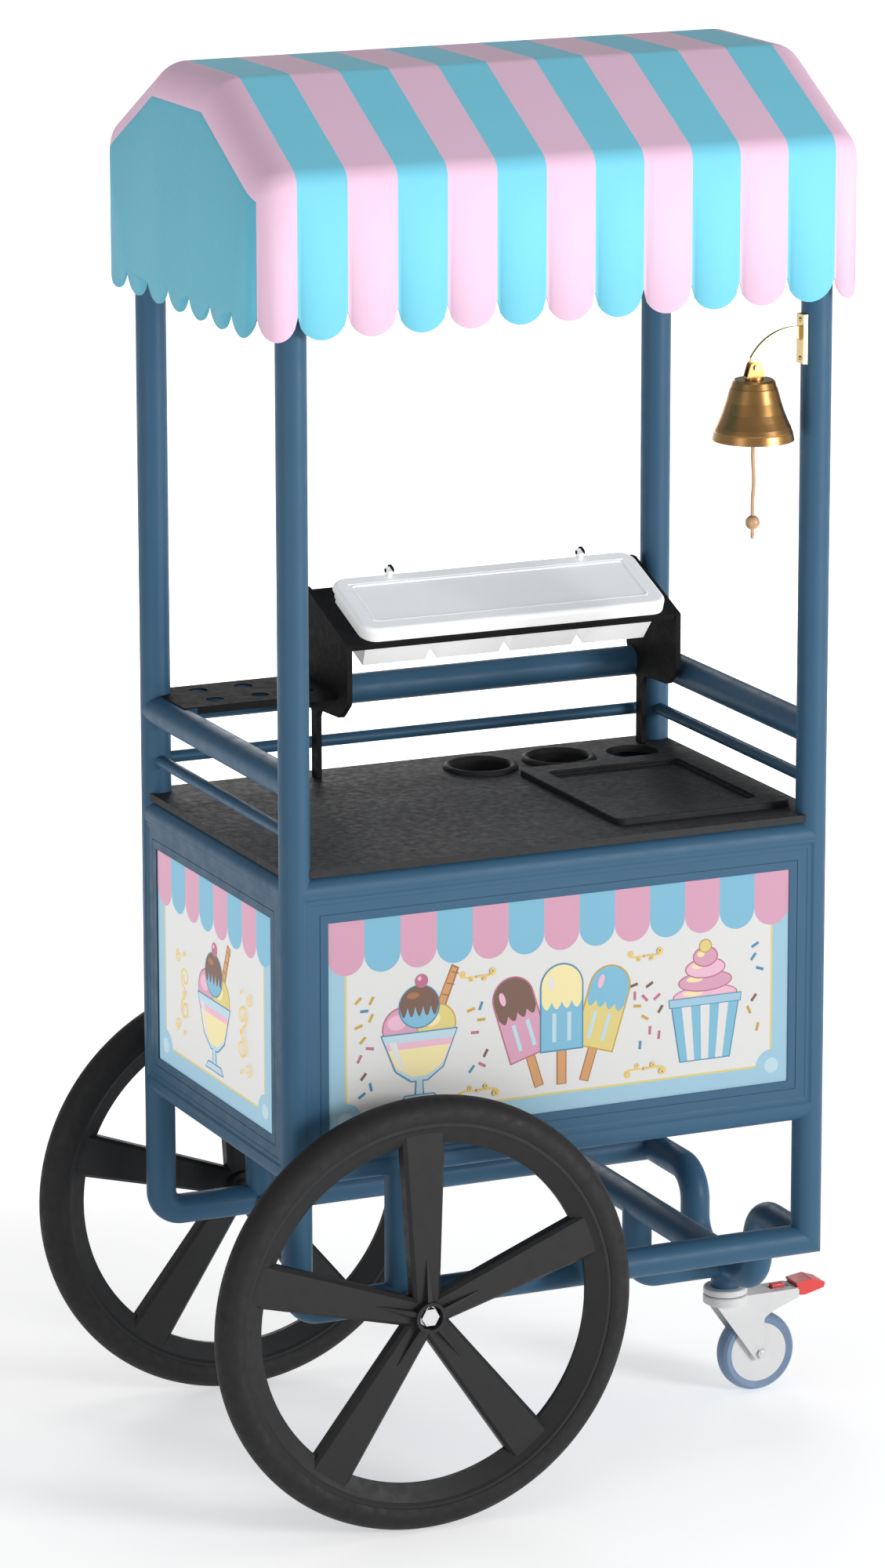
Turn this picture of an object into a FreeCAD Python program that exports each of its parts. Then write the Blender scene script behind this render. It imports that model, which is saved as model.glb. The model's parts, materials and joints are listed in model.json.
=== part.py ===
import FreeCAD, Part
import math
import os
import Sketcher
from FreeCAD import Placement, Rotation, Vector

# Ice cream push cart: a four-post tube frame with two big spoked wheels and one braked
# caster, a panelled cabinet, a counter with wells, a topping rack, a bell and a striped
# canopy. Millimetres. +X runs from the big wheels to the caster end, -Y is the customer side,
# +Z is up, and the origin is on the ground under the middle of the four posts.

doc = FreeCAD.newDocument("IceCreamCart")
sheet = doc.addObject("Spreadsheet::Sheet", "Sizes")
X, Y, Z = Vector(1, 0, 0), Vector(0, 1, 0), Vector(0, 0, 1)
FRONT_REAR = ((-1, "front"), (1, "rear"))
LEFT_RIGHT = ((-1, "left"), (1, "right"))
ROWS = []
NODES = []


def words(value):
    return value.text if isinstance(value, Size) else "(%r)" % float(value)


class Size(float):
    """A number that also keeps the expression it comes from."""

    def __new__(cls, value, text):
        made = float.__new__(cls, value)
        made.text = text
        return made

    def join(self, other, sign, value, swap=False):
        a, b = (words(other), self.text) if swap else (self.text, words(other))
        return Size(value, "(%s %s %s)" % (a, sign, b))

    def __add__(self, other):
        return self.join(other, "+", float(self) + float(other))

    def __radd__(self, other):
        return self.join(other, "+", float(other) + float(self), True)

    def __sub__(self, other):
        return self.join(other, "-", float(self) - float(other))

    def __rsub__(self, other):
        return self.join(other, "-", float(other) - float(self), True)

    def __mul__(self, other):
        return self.join(other, "*", float(self) * float(other))

    def __rmul__(self, other):
        return self.join(other, "*", float(other) * float(self), True)

    def __truediv__(self, other):
        return self.join(other, "/", float(self) / float(other))

    def __neg__(self):
        return Size(-float(self), "(0 - %s)" % self.text)


def size(name, value):
    """Write one driving size into the next row of the sheet and hand it back."""
    ROWS.append(name)
    cell = "B%d" % len(ROWS)
    sheet.set("A%d" % len(ROWS), name)
    sheet.set(cell, "%g" % value)
    sheet.setAlias(cell, name)
    return Size(value, "Sizes." + name)


def sizes(**rows):
    return [size(name, value) for name, value in rows.items()]


def tie(obj, prop, value):
    """Bind a property to the sizes that its value comes from."""
    if isinstance(value, Size):
        obj.setExpression(prop, value.text)
    elif hasattr(obj, prop):
        setattr(obj, prop, value)


def seat(obj, base, turn=None):
    """Give an object its place, with each coordinate bound to the sizes behind it."""
    obj.Placement = Placement(Vector(*base), turn or Rotation())
    for axis, value in zip("xyz", base):
        tie(obj, "Placement.Base." + axis, value)
    return obj


def node(obj, label):
    """Register a finished sub-part under its own label."""
    obj.Label = label
    NODES.append(obj)
    return obj


# ---- primitives and booleans ---------------------------------------------------------
def primitive(kind, base, turn=None, **props):
    obj = doc.addObject("Part::" + kind, kind)
    for prop, value in props.items():
        tie(obj, prop, value)
    return seat(obj, base, turn)


def bar(start, end, radius):
    """Round bar between two points that differ along one axis only."""
    along = max(range(3), key=lambda i: abs(end[i] - start[i]))
    step = end[along] - start[along]
    way = [0.0, 0.0, 0.0]
    way[along] = math.copysign(1.0, step)
    return primitive("Cylinder", start, Rotation(Z, Vector(*way)), Radius=radius,
                     Height=step if step > 0 else -step)


def block(low, high, turn=None):
    return primitive("Box", low, turn, Length=high[0] - low[0], Width=high[1] - low[1],
                     Height=high[2] - low[2])


def fuse(*objs):
    obj = doc.addObject("Part::MultiFuse", "Fuse")
    obj.Shapes = list(objs)
    obj.Refine = True
    return obj


def cut(base, *tools):
    for tool in tools:
        step = doc.addObject("Part::Cut", "Cut")
        step.Base, step.Tool = base, tool
        base = step
    return base


def soften(base, radius, pick):
    """Round the edges that pick accepts."""
    doc.recompute()
    rows = [(i + 1, float(radius), float(radius)) for i, e in enumerate(base.Shape.Edges) if pick(e)]
    obj = doc.addObject("Part::Fillet", "Fillet")
    obj.Base = base
    obj.Edges = rows
    return obj


def upright(edge):
    return abs(edge.tangentAt(edge.FirstParameter).z) > 0.99


def elbow(corner, u, v, bend, radius):
    """Quarter bend at a corner where a pipe coming along u leaves along v."""
    centre = [c + bend * (b - a) if b - a else c for c, a, b in zip(corner, u, v)]
    turn = Rotation(-Vector(*v), Vector(*u), Vector(*u).cross(Vector(*v)), "ZXY")
    return primitive("Torus", centre, turn, Radius1=bend, Radius2=radius, Angle3=90.0)


def heading(a, b):
    return [0 if abs(q - p) < 1e-9 else int(math.copysign(1, q - p)) for p, q in zip(a, b)]


def pipe(points, bends, radius):
    """Solid round bar along square-cornered points, each corner bent to its radius."""
    pieces = []
    for i in range(len(points) - 1):
        start, end = list(points[i]), list(points[i + 1])
        way = heading(start, end)
        for k in range(3):
            if way[k] and i > 0:
                start[k] = start[k] + bends[i - 1] * way[k]
            if way[k] and i < len(points) - 2:
                end[k] = end[k] - bends[i] * way[k]
        pieces.append(bar(start, end, radius))
        if i < len(points) - 2:
            pieces.append(elbow(points[i + 1], way, heading(points[i + 1], points[i + 2]), bends[i], radius))
    return fuse(*pieces) if len(pieces) > 1 else pieces[0]


def tube(label, points, bends, diameter, wall, *saddles):
    """Hollow tube along square-cornered points, its ends coped round the saddles."""
    hollow = cut(pipe(points, bends, diameter / 2), pipe(points, bends, diameter / 2 - wall))
    return node(cut(hollow, *saddles), label)


# ---- sketched bodies -----------------------------------------------------------------
def new_sketch(body, role):
    sketch = body.newObject("Sketcher::SketchObject", "Sketch")
    plane = [item for item in body.Origin.OriginFeatures if item.Role == role][0]
    sketch.AttachmentSupport = [(plane, "")]
    sketch.MapMode = "FlatFace"
    return sketch


def pin_down(sketch, index, place, point):
    """Constrain one point of a sketch from the sketch's own origin."""
    for kind, axis, value in (("DistanceX", -2, point[0]), ("DistanceY", -1, point[1])):
        if abs(value) < 1e-9:
            sketch.addConstraint(Sketcher.Constraint("PointOnObject", index, place, axis))
        else:
            row = sketch.addConstraint(Sketcher.Constraint(kind, -1, 1, index, place, float(value)))
            tie(sketch, "Constraints[%d]" % row, value)


def draw_outline(sketch, points):
    first = sketch.GeometryCount
    count = len(points)
    for i, point in enumerate(points):
        after = points[(i + 1) % count]
        sketch.addGeometry(Part.LineSegment(Vector(*point[:2]), Vector(*after[:2])), False)
    for i in range(count):
        sketch.addConstraint(Sketcher.Constraint("Coincident", first + i, 2, first + (i + 1) % count, 1))
    for i, point in enumerate(points):
        pin_down(sketch, first + i, 1, point)


def draw_circle(sketch, centre, radius):
    index = sketch.addGeometry(Part.Circle(Vector(*centre), Z, float(radius)), False)
    pin_down(sketch, index, 3, centre)
    row = sketch.addConstraint(Sketcher.Constraint("Radius", index, float(radius)))
    tie(sketch, "Constraints[%d]" % row, radius)


def draw_box(sketch, low, high):
    draw_outline(sketch, [low, (high[0], low[1]), high, (low[0], high[1])])


def pad(body, sketch, length):
    obj = body.newObject("PartDesign::Pad", "Pad")
    obj.Profile = sketch
    tie(obj, "Length", length)
    doc.recompute()
    return obj


def pocket(body, sketch, length):
    """Cut a sketch upward into the body, and make sure that it really cuts."""
    before = body.Shape.Volume
    obj = body.newObject("PartDesign::Pocket", "Pocket")
    obj.Profile = sketch
    obj.Reversed = True
    tie(obj, "Length", length)
    doc.recompute()
    if body.Shape.Volume > before - 1:
        raise RuntimeError("a pocket cut nothing in " + body.Label)
    return obj


def turned(profile, centre, role="XZ_Plane"):
    """Body of revolution: profile points are radius and height (or offset along Y)."""
    body = doc.addObject("PartDesign::Body", "Body")
    sketch = new_sketch(body, role)
    draw_outline(sketch, profile)
    spin = body.newObject("PartDesign::Revolution", "Revolution")
    spin.Profile = sketch
    spin.ReferenceAxis = (sketch, ["V_Axis"])
    spin.Angle = 360.0
    return seat(body, centre)


# ---- free shapes, for what neither primitives nor sketches make ----------------------
def feature(shape):
    obj = doc.addObject("Part::Feature", "Shape")
    place = shape.Placement
    shape.Placement = Placement()
    obj.Shape = shape
    obj.Placement = place
    return obj


def rod(base, direction, radius, height):
    return Part.makeCylinder(radius, height, Vector(*base), direction)


def brick(low, high):
    return Part.makeBox(high[0] - low[0], high[1] - low[1], high[2] - low[2], Vector(*low))


def rounded_wire(points, radii, closed):
    """Wire of straight runs whose corners are tangent arcs; a radius of 0 stays sharp."""
    pts = [Vector(*p) for p in points]
    count = len(pts)
    corners = range(count) if closed else range(1, count - 1)
    ends = {}
    for i in corners:
        u, v = (pts[i] - pts[i - 1]).normalize(), (pts[(i + 1) % count] - pts[i]).normalize()
        turn = u.getAngle(v)
        r = radii[i if closed else i - 1]
        back = r * math.tan(turn / 2)
        if back > 1e-6:
            inward = (v - u).normalize()
            ends[i] = (pts[i] - u * back, pts[i] + inward * (r / math.cos(turn / 2) - r), pts[i] + v * back)
    edges = []
    for i in range(count if closed else count - 1):
        j = (i + 1) % count
        a = ends[i][2] if i in ends else pts[i]
        b = ends[j][0] if j in ends else pts[j]
        if (b - a).Length > 1e-6:
            edges.append(Part.LineSegment(a, b).toShape())
        if j in ends:
            edges.append(Part.Arc(*ends[j]).toShape())
    return Part.Wire(edges)


def plate(points, direction, radii=None):
    """Flat plate: a closed outline, its corners rounded, pushed along a vector."""
    wire = rounded_wire(points, radii or [0] * len(points), True)
    return Part.Face(wire).extrude(Vector(*direction))


def swept(points, bends, radius):
    """Round bar along a route of runs and arcs."""
    wire = rounded_wire(points, bends, False)
    first = wire.Edges[0]
    ring = Part.Wire(Part.makeCircle(radius, first.valueAt(first.FirstParameter),
                                     first.tangentAt(first.FirstParameter)))
    return wire.makePipeShell([ring], True, True)


def biggest(shape):
    return max(shape.Solids, key=lambda solid: solid.Volume)


# ---- driving sizes of the frame ------------------------------------------------------
tube_d, tube_wall, post_x, post_y, post_top = sizes(
    tube_diameter=45.0, tube_wall=2.0, post_half_span_x=411.4, post_half_span_y=261.75, post_top_height=1952.0)
low_z, elbow_r, body_low_z, counter_z, counter_t, counter_over = sizes(
    lower_tube_height=325.0, elbow_radius=32.0, body_lower_rail_height=535.0, counter_height=980.5,
    counter_thickness=10.8, counter_overhang=16.3)
guard_z, small_z, small_d, small_wall = sizes(
    guard_rail_height=1104.5, small_rail_height=1028.7, small_rail_diameter=18.0, small_rail_wall=1.5)
cross_x, cradle_y, cradle_z, cradle_bend = sizes(
    cross_tube_x=260.0, cradle_leg_half_span=106.0, cradle_low_height=212.0, cradle_bend_radius=46.0)
axle_x, axle_d, run_gap = sizes(axle_place_x=-249.4, axle_diameter=16.0, running_clearance=0.05)

tube_r = tube_d / 2
small_r = small_d / 2
body_top_z = counter_z - counter_t - tube_r

# ---- chassis -------------------------------------------------------------------------
# solid bars that stand for the tubes wherever another piece is coped round them
post_bar = {(sx, sy): bar((post_x * sx, post_y * sy, low_z), (post_x * sx, post_y * sy, post_top + 50), tube_r)
            for sx in (-1, 1) for sy in (-1, 1)}
long_bar = {(level, sy): bar((-post_x, post_y * sy, z), (post_x, post_y * sy, z), tube_r)
            for level, z in (("base", low_z), ("low", body_low_z), ("top", body_top_z), ("guard", guard_z))
            for sy in (-1, 1)}
short_bar = {(level, sx): bar((post_x * sx, -post_y, z), (post_x * sx, post_y, z), tube_r)
             for level, z in (("low", body_low_z), ("top", body_top_z), ("guard", guard_z)) for sx in (-1, 1)}
axle_bar = bar((axle_x, post_y * -1.5, low_z), (axle_x, post_y * 1.5, low_z), axle_d / 2)


def mitre(sy, above):
    """Block on one side of the 45 degree joint between a lower tube and its end post."""
    side = tube_d * 4
    turn = Rotation(Y, 45.0 if above else -135.0)
    # the block's own X runs down the joint; its Z points to the side it takes away
    block_ = doc.addObject("Part::Box", "Mitre")
    for prop, value in (("Length", side), ("Width", side), ("Height", side)):
        tie(block_, prop, value)
    half = side * 0.353553391
    dx, dz = (-half, half) if above else (half, -half)
    return seat(block_, (post_x + dx, post_y * sy - tube_d * 2, low_z + dz), turn)


for sy, where in FRONT_REAR:
    y = post_y * sy
    tube("loop_" + where, [(-post_x, y, post_top), (-post_x, y, low_z), (post_x + tube_r, y, low_z)], [elbow_r],
         tube_d, tube_wall, mitre(sy, True), axle_bar)
    tube("post_" + where, [(post_x, y, low_z - tube_r), (post_x, y, post_top)], [], tube_d, tube_wall,
         mitre(sy, False))

tube("cross_tube", [(cross_x, -post_y, low_z), (cross_x, post_y, low_z)], [], tube_d, tube_wall,
     long_bar["base", -1], long_bar["base", 1])
tube("caster_cradle", [(post_x, post_y, low_z), (post_x, cradle_y, low_z), (post_x, cradle_y, cradle_z),
                       (post_x, -cradle_y, cradle_z), (post_x, -cradle_y, low_z), (post_x, -post_y, low_z)],
     [cradle_bend] * 4, tube_d, tube_wall, long_bar["base", -1], long_bar["base", 1],
     *[bar((post_x, post_y * sy, low_z - tube_d), (post_x, post_y * sy, low_z + tube_d), tube_r) for sy in (-1, 1)])
cradle_bar = bar((post_x, cradle_bend - cradle_y, cradle_z), (post_x, cradle_y - cradle_bend, cradle_z), tube_r)
cross_bar = bar((cross_x, -post_y, low_z), (cross_x, post_y, low_z), tube_r)
strut_route = [(cross_x, 0.0, low_z), (cross_x, 0.0, cradle_z), (post_x, 0.0, cradle_z)]
tube("caster_strut", strut_route, [elbow_r], tube_d, tube_wall, cross_bar, cradle_bar)

stem_wall, stem_low_z = sizes(caster_stem_wall=6.0, caster_stem_foot_height=173.0)
tube("caster_stem", [(post_x, 0.0, cradle_z), (post_x, 0.0, stem_low_z)], [], tube_d, stem_wall, cradle_bar,
     pipe(strut_route, [elbow_r], tube_r))

# ---- body rails and guard rails ------------------------------------------------------
for level, z in (("top", body_top_z), ("low", body_low_z)):
    for sy, where in FRONT_REAR:
        tube("rail_%s_%s" % (level, where), [(-post_x, post_y * sy, z), (post_x, post_y * sy, z)], [], tube_d,
             tube_wall, post_bar[-1, sy], post_bar[1, sy])
    for sx, where in LEFT_RIGHT:
        tube("rail_%s_%s" % (level, where), [(post_x * sx, -post_y, z), (post_x * sx, post_y, z)], [], tube_d,
             tube_wall, post_bar[sx, -1], post_bar[sx, 1], long_bar[level, -1], long_bar[level, 1])
for sy, where in FRONT_REAR:
    tube("axle_leg_" + where, [(axle_x, post_y * sy, low_z), (axle_x, post_y * sy, body_low_z)], [], tube_d,
         tube_wall, long_bar["base", sy], long_bar["low", sy], axle_bar)

# the customer side has no guard rails
for z, d, wall, stem in ((guard_z, tube_d, tube_wall, "guard"), (small_z, small_d, small_wall, "guard_small")):
    back_bar = bar((-post_x, post_y, z), (post_x, post_y, z), d / 2)
    tube(stem + "_rear", [(-post_x, post_y, z), (post_x, post_y, z)], [], d, wall, post_bar[-1, 1], post_bar[1, 1])
    for sx, where in LEFT_RIGHT:
        tube("%s_%s" % (stem, where), [(post_x * sx, -post_y, z), (post_x * sx, post_y, z)], [], d, wall,
             post_bar[sx, -1], post_bar[sx, 1], back_bar)

# ---- cabinet panels ------------------------------------------------------------------
panel_t, panel_inset, bead_w, cove_w, cove_depth, frame_w, board_depth, groove_in, groove_w = sizes(
    panel_thickness=14.0, panel_edge_inset=0.9, panel_bead_width=4.0, panel_cove_width=15.0, panel_cove_depth=3.0,
    panel_frame_width=42.5, panel_board_depth=5.0, panel_groove_inset=29.2, panel_groove_width=1.0)
panel_low = body_low_z + 2.0
panel_high = body_top_z + tube_r - 25.3


def moulded_panel(half_w, distance, angle):
    """Panel with a proud bead, a sloped cove, a fine groove and a sunk picture board."""
    w = half_w - panel_inset
    low, high = panel_low, panel_high

    def slab(inset, y0, y1):
        return block((inset - w, y0, low + inset), (w - inset, y1, high - inset))

    def flare(in0, in1, y0, y1):
        """Recess that narrows from one inset at y0 to another at y1."""
        return primitive("Wedge", (0.0, 0.0, 0.0), None, Xmin=in0 - w, Xmax=w - in0, Ymin=y0, Ymax=y1,
                         Zmin=low + in0, Zmax=high - in0, X2min=in1 - w, X2max=w - in1, Z2min=low + in1,
                         Z2max=high - in1)

    mid_w = bead_w + (cove_w - bead_w) * 0.35
    mid_depth = cove_depth * 0.7
    shape = cut(slab(0.0, 0.0, panel_t), flare(bead_w, mid_w, 0.0, mid_depth),
                flare(mid_w, cove_w, 0.0, cove_depth), slab(frame_w, 0.0, board_depth),
                cut(slab(groove_in, 0.0, cove_depth + 1.0), slab(groove_in + groove_w, -1.0, cove_depth + 2.0)))
    turn = Rotation(Z, angle)
    away = turn.multVec(Vector(0, -1, 0))
    return seat(shape, [distance * round(away.x) if round(away.x) else 0.0,
                        distance * round(away.y) if round(away.y) else 0.0, 0.0], turn)


for angle, half, dist, where in ((0, post_x, post_y, "front"), (180, post_x, post_y, "rear"),
                                 (-90, post_y, post_x, "left"), (90, post_y, post_x, "right")):
    shape = moulded_panel(half, dist + tube_r, angle)
    if angle in (0, 180):
        sy = -1 if angle == 0 else 1
        tools = [post_bar[-1, sy], post_bar[1, sy], long_bar["low", sy], long_bar["top", sy],
                 short_bar["low", -1], short_bar["low", 1], short_bar["top", -1], short_bar["top", 1]]
    else:
        sx = -1 if angle == -90 else 1
        tools = [post_bar[sx, -1], post_bar[sx, 1], short_bar["low", sx], short_bar["top", sx],
                 long_bar["low", -1], long_bar["low", 1], long_bar["top", -1], long_bar["top", 1]]
    node(cut(shape, *tools), "panel_" + where)

floor_t = size("cabinet_floor_thickness", 4.0)
floor_z = body_low_z + tube_r
floor_body = doc.addObject("PartDesign::Body", "Body")
sketch = new_sketch(floor_body, "XY_Plane")
fx, fy = post_x - tube_r / 2, post_y - tube_r / 2
draw_box(sketch, (-fx, -fy), (fx, fy))
pad(floor_body, sketch, floor_t)
sketch = new_sketch(floor_body, "XY_Plane")
for sx in (-1, 1):
    for sy in (-1, 1):
        draw_circle(sketch, (post_x * sx, post_y * sy), tube_r + 1.0)
pocket(floor_body, sketch, floor_t)
node(seat(floor_body, (0.0, 0.0, floor_z)), "cabinet_floor")

# ---- counter -------------------------------------------------------------------------
well_r, well_wall, well_depth, well_y, well_bead, hole_r, hole_x = sizes(
    cup_well_radius=44.5, cup_well_wall=2.5, cup_well_depth=112.0, cup_well_y=188.0, cup_well_bead_radius=6.5,
    round_hole_radius=40.0, round_hole_x=339.0)
well_x = sizes(cup_well_left_x=85.0, cup_well_right_x=215.5)
tray_x0, tray_x1, tray_y0, tray_y1 = sizes(tray_left_x=118.0, tray_right_x=402.0, tray_front_y=-221.0,
                                           tray_back_y=127.0)
tray_t, tray_floor, tray_rim, tray_step, tray_corner = sizes(
    tray_height=9.0, tray_floor=1.5, tray_rim_width=30.0, tray_step_width=5.0, tray_corner_radius=14.0)

cx, cy = post_x + counter_over, post_y + counter_over
counter = doc.addObject("PartDesign::Body", "Body")
sketch = new_sketch(counter, "XY_Plane")
draw_box(sketch, (-cx, -cy), (cx, cy))
pad(counter, sketch, counter_t)
sketch = new_sketch(counter, "XY_Plane")
for sx in (-1, 1):
    for sy in (-1, 1):
        draw_circle(sketch, (post_x * sx, post_y * sy), tube_r)
for x in well_x:
    draw_circle(sketch, (x, well_y), well_r + well_wall)
draw_circle(sketch, (hole_x, well_y), hole_r)
pocket(counter, sketch, counter_t)
sketch = new_sketch(counter, "XY_Plane")
for sx in (-1, 1):
    for sy in (-1, 1):
        draw_box(sketch, (post_x * sx, post_y * sy), (cx * sx + 2.0 * sx, cy * sy + 2.0 * sy))
pocket(counter, sketch, counter_t)
node(seat(counter, (0.0, 0.0, counter_z - counter_t)), "countertop")

for x, where in zip(well_x, ("left", "right")):
    outer_r = well_r + well_wall
    bead = cut(primitive("Torus", (x, well_y, counter_z), None, Radius1=well_r + well_bead, Radius2=well_bead),
               bar((x, well_y, counter_z - well_bead * 2), (x, well_y, counter_z), well_r + well_bead * 3))
    wall = bar((x, well_y, counter_z - well_depth), (x, well_y, counter_z), outer_r)
    cup = cut(fuse(wall, bead), bar((x, well_y, counter_z - well_depth + well_wall), (x, well_y, counter_z + 20),
                                    well_r))
    node(cup, "cup_well_" + where)

slab = soften(block((tray_x0, tray_y0, counter_z), (tray_x1, tray_y1, counter_z + tray_t)), tray_corner, upright)
slab = soften(slab, 2.5, lambda e: abs(e.CenterOfMass.z - counter_z - tray_t) < 0.01)
basin = soften(block((tray_x0 + tray_rim, tray_y0 + tray_rim + 6.0, counter_z + tray_t - 4.0),
                     (tray_x1 - tray_rim - 6.0, tray_y1 - tray_rim - 6.0, counter_z + tray_t + 5.0)),
               tray_corner, upright)
pan = soften(block((tray_x0 + tray_rim + tray_step, tray_y0 + tray_rim + tray_step + 6.0, counter_z + tray_floor),
                   (tray_x1 - tray_rim - tray_step - 6.0, tray_y1 - tray_rim - tray_step - 6.0,
                    counter_z + tray_t)), tray_corner - 3, upright)
node(cut(slab, basin, pan), "tray")

# ---- topping rack: side plates, shelf, bins and lid ----------------------------------
rack_x0, rack_x1, rack_y0, rack_y1, rack_z0, rack_t = sizes(
    rack_left_x=-168.0, rack_right_x=380.0, rack_front_y=107.0, rack_back_y=262.0, rack_front_height=1207.0,
    rack_plate_thickness=8.0)
slope = size("rack_slope_angle", 20.9)
leg_y = size("rack_leg_front_y", 223.0)
slope_rad = math.radians(slope)
rise = math.tan(slope_rad) * (rack_y1 - rack_y0)
hook_z = guard_z - 12.0
for x, where in ((rack_x0, "left"), (rack_x1 - rack_t, "right")):
    outline = [(rack_y0, rack_z0), (rack_y1, rack_z0 + rise), (rack_y1 + 16, rack_z0 + rise),
               (rack_y1 + 16, guard_z + tube_r + 2), (rack_y1, guard_z), (leg_y + 20, guard_z - tube_r),
               (leg_y + 20, counter_z), (leg_y, counter_z), (leg_y, hook_z - 4), (rack_y0 + 30, hook_z),
               (rack_y0, hook_z + 26)]
    radii = [3, 4, 3, 2, 0, 0, 3, 3, 16, 14, 14]
    side = plate([(x, y, z) for y, z in outline], (rack_t, 0, 0), radii)
    side = side.cut(rod((-post_x, post_y, guard_z), X, tube_r, 2 * post_x))
    side = side.cut(rod((-post_x, post_y, small_z), X, small_r, 2 * post_x))
    node(feature(biggest(side)), "rack_side_" + where)

shelf_t, lid_h, lid_wall, flange_t, bin_count, bin_depth, bin_wall, lid_skirt = sizes(
    rack_shelf_thickness=3.0, lid_height=21.0, lid_wall=3.0, bin_flange_thickness=5.0, bin_count_along=4.0,
    bin_depth=58.0, bin_wall=2.5, lid_skirt_clearance=1.5)
lid_corner, lid_edge, lid_rim = sizes(lid_corner_radius=24.0, lid_edge_radius=7.0, lid_rim_width=22.0)
shelf_x0, shelf_x1 = rack_x0 + rack_t, rack_x1 - rack_t
shelf_run = size("rack_shelf_depth", 160.0)
bin_x0, bin_x1 = shelf_x0 + 25.0, shelf_x1 - 17.0
bin_y0, bin_y1 = Size(8.0, "(8.0)"), shelf_run - 12.0
lid_pin_r, lid_pin_y, lid_pin_z = sizes(lid_pin_radius=3.0, lid_pin_back=151.0, lid_pin_lift=27.0)
ear_x = sizes(lid_hinge_left_x=-45.0, lid_hinge_right_x=271.0)
ear_t = size("lid_hinge_ear_thickness", 6.0)


def on_rack(obj, label):
    """Tilt a piece drawn flat (front edge at y 0, shelf top at z 0) onto the rack."""
    seat(obj, (0.0, rack_y0, rack_z0), Rotation(X, slope))
    obj.setExpression("Placement.Rotation.Angle", slope.text)
    return node(obj, label)


shelf = fuse(block((shelf_x0, 0.0, -shelf_t), (shelf_x1, shelf_run, 0.0)),
             block((shelf_x0, 0.0, shelf_t * -3), (shelf_x1, shelf_t, 0.0)))
shelf = cut(shelf, block((bin_x0 + 4.5, bin_y0 + 6.0, shelf_t * -4), (bin_x1 - 4.5, bin_y1 - 6.0, 5.0)))
ears = []
for x in ear_x:
    stand = block((x + ear_t / 2 + 0.5, lid_pin_y + 6.0, -1.0), (x + ear_t * 1.5 + 0.5, lid_pin_y + 9.0, lid_pin_z))
    arm = block((x + ear_t / 2 + 0.5, lid_pin_y, lid_pin_z - 4.0),
                (x + ear_t * 1.5 + 0.5, lid_pin_y + 9.0, lid_pin_z + 4.0))
    nose = bar((x + ear_t / 2 + 0.5, lid_pin_y, lid_pin_z), (x + ear_t * 1.5 + 0.5, lid_pin_y, lid_pin_z), 4.0)
    ears += [stand, arm, nose, bar((x - ear_t / 2 - 1.0, lid_pin_y, lid_pin_z),
                             (x + ear_t * 1.5 + 0.5, lid_pin_y, lid_pin_z), lid_pin_r)]
on_rack(fuse(shelf, *ears), "rack_shelf")

pitch = (bin_x1 - bin_x0 - 8.0) / bin_count


def tub(i, grow, low, high):
    """One tapered tub of the row, narrowing towards its floor."""
    a = bin_x0 + 8.0 + pitch * i
    b = a + pitch - 8.0
    return primitive("Wedge", (0.0, 0.0, 0.0), Rotation(X, 90), Xmin=a + 8.0 - grow, Xmax=b - 8.0 + grow,
                     Ymin=low, Ymax=high, Zmin=-(bin_y1 - 26.0 + grow), Zmax=-(bin_y0 + 26.0 - grow),
                     X2min=a - grow, X2max=b + grow, Z2min=-(bin_y1 - 12.0 + grow),
                     Z2max=-(bin_y0 + 12.0 - grow))


# two pans of two tubs each hang by their flanges in the shelf
pan_gap = size("bin_pan_gap", 0.5)
middle = bin_x0 + pitch * 2 + 4.0
for x0, x1, first, where in ((bin_x0, middle - pan_gap / 2, 0, "left"), (middle + pan_gap / 2, bin_x1, 2, "right")):
    flange = soften(block((x0, bin_y0, 0.0), (x1, bin_y1, flange_t)), lid_corner - lid_wall - lid_skirt, upright)
    tubs = [tub(i, bin_wall, -bin_depth, flange_t * 0.2) for i in (first, first + 1)]
    mouths = [tub(i, 0.0, bin_wall - bin_depth, flange_t + 1.0) for i in (first, first + 1)]
    on_rack(cut(fuse(flange, *tubs), *mouths), "bins_" + where)

lid_x0, lid_x1 = bin_x0 - lid_wall - lid_skirt, bin_x1 + lid_wall + lid_skirt
lid_y0, lid_y1 = bin_y0 - lid_wall - lid_skirt, bin_y1 + lid_wall + lid_skirt
lid = soften(block((lid_x0, lid_y0, 0.8), (lid_x1, lid_y1, lid_h + 0.8)), lid_corner, upright)
lid = soften(lid, lid_edge, lambda e: abs(e.CenterOfMass.z - lid_h - 0.8) < 0.01)
cavity = soften(block((bin_x0 - lid_skirt, bin_y0 - lid_skirt, 0.0),
                      (bin_x1 + lid_skirt, bin_y1 + lid_skirt, lid_h - lid_wall - 1.5)),
                lid_corner - lid_wall, upright)
panel_cut = block((lid_x0 + lid_rim, lid_y0 + lid_rim, lid_h - 1.2), (lid_x1 - lid_rim, lid_y1 - lid_rim, lid_h + 3.0))
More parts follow.
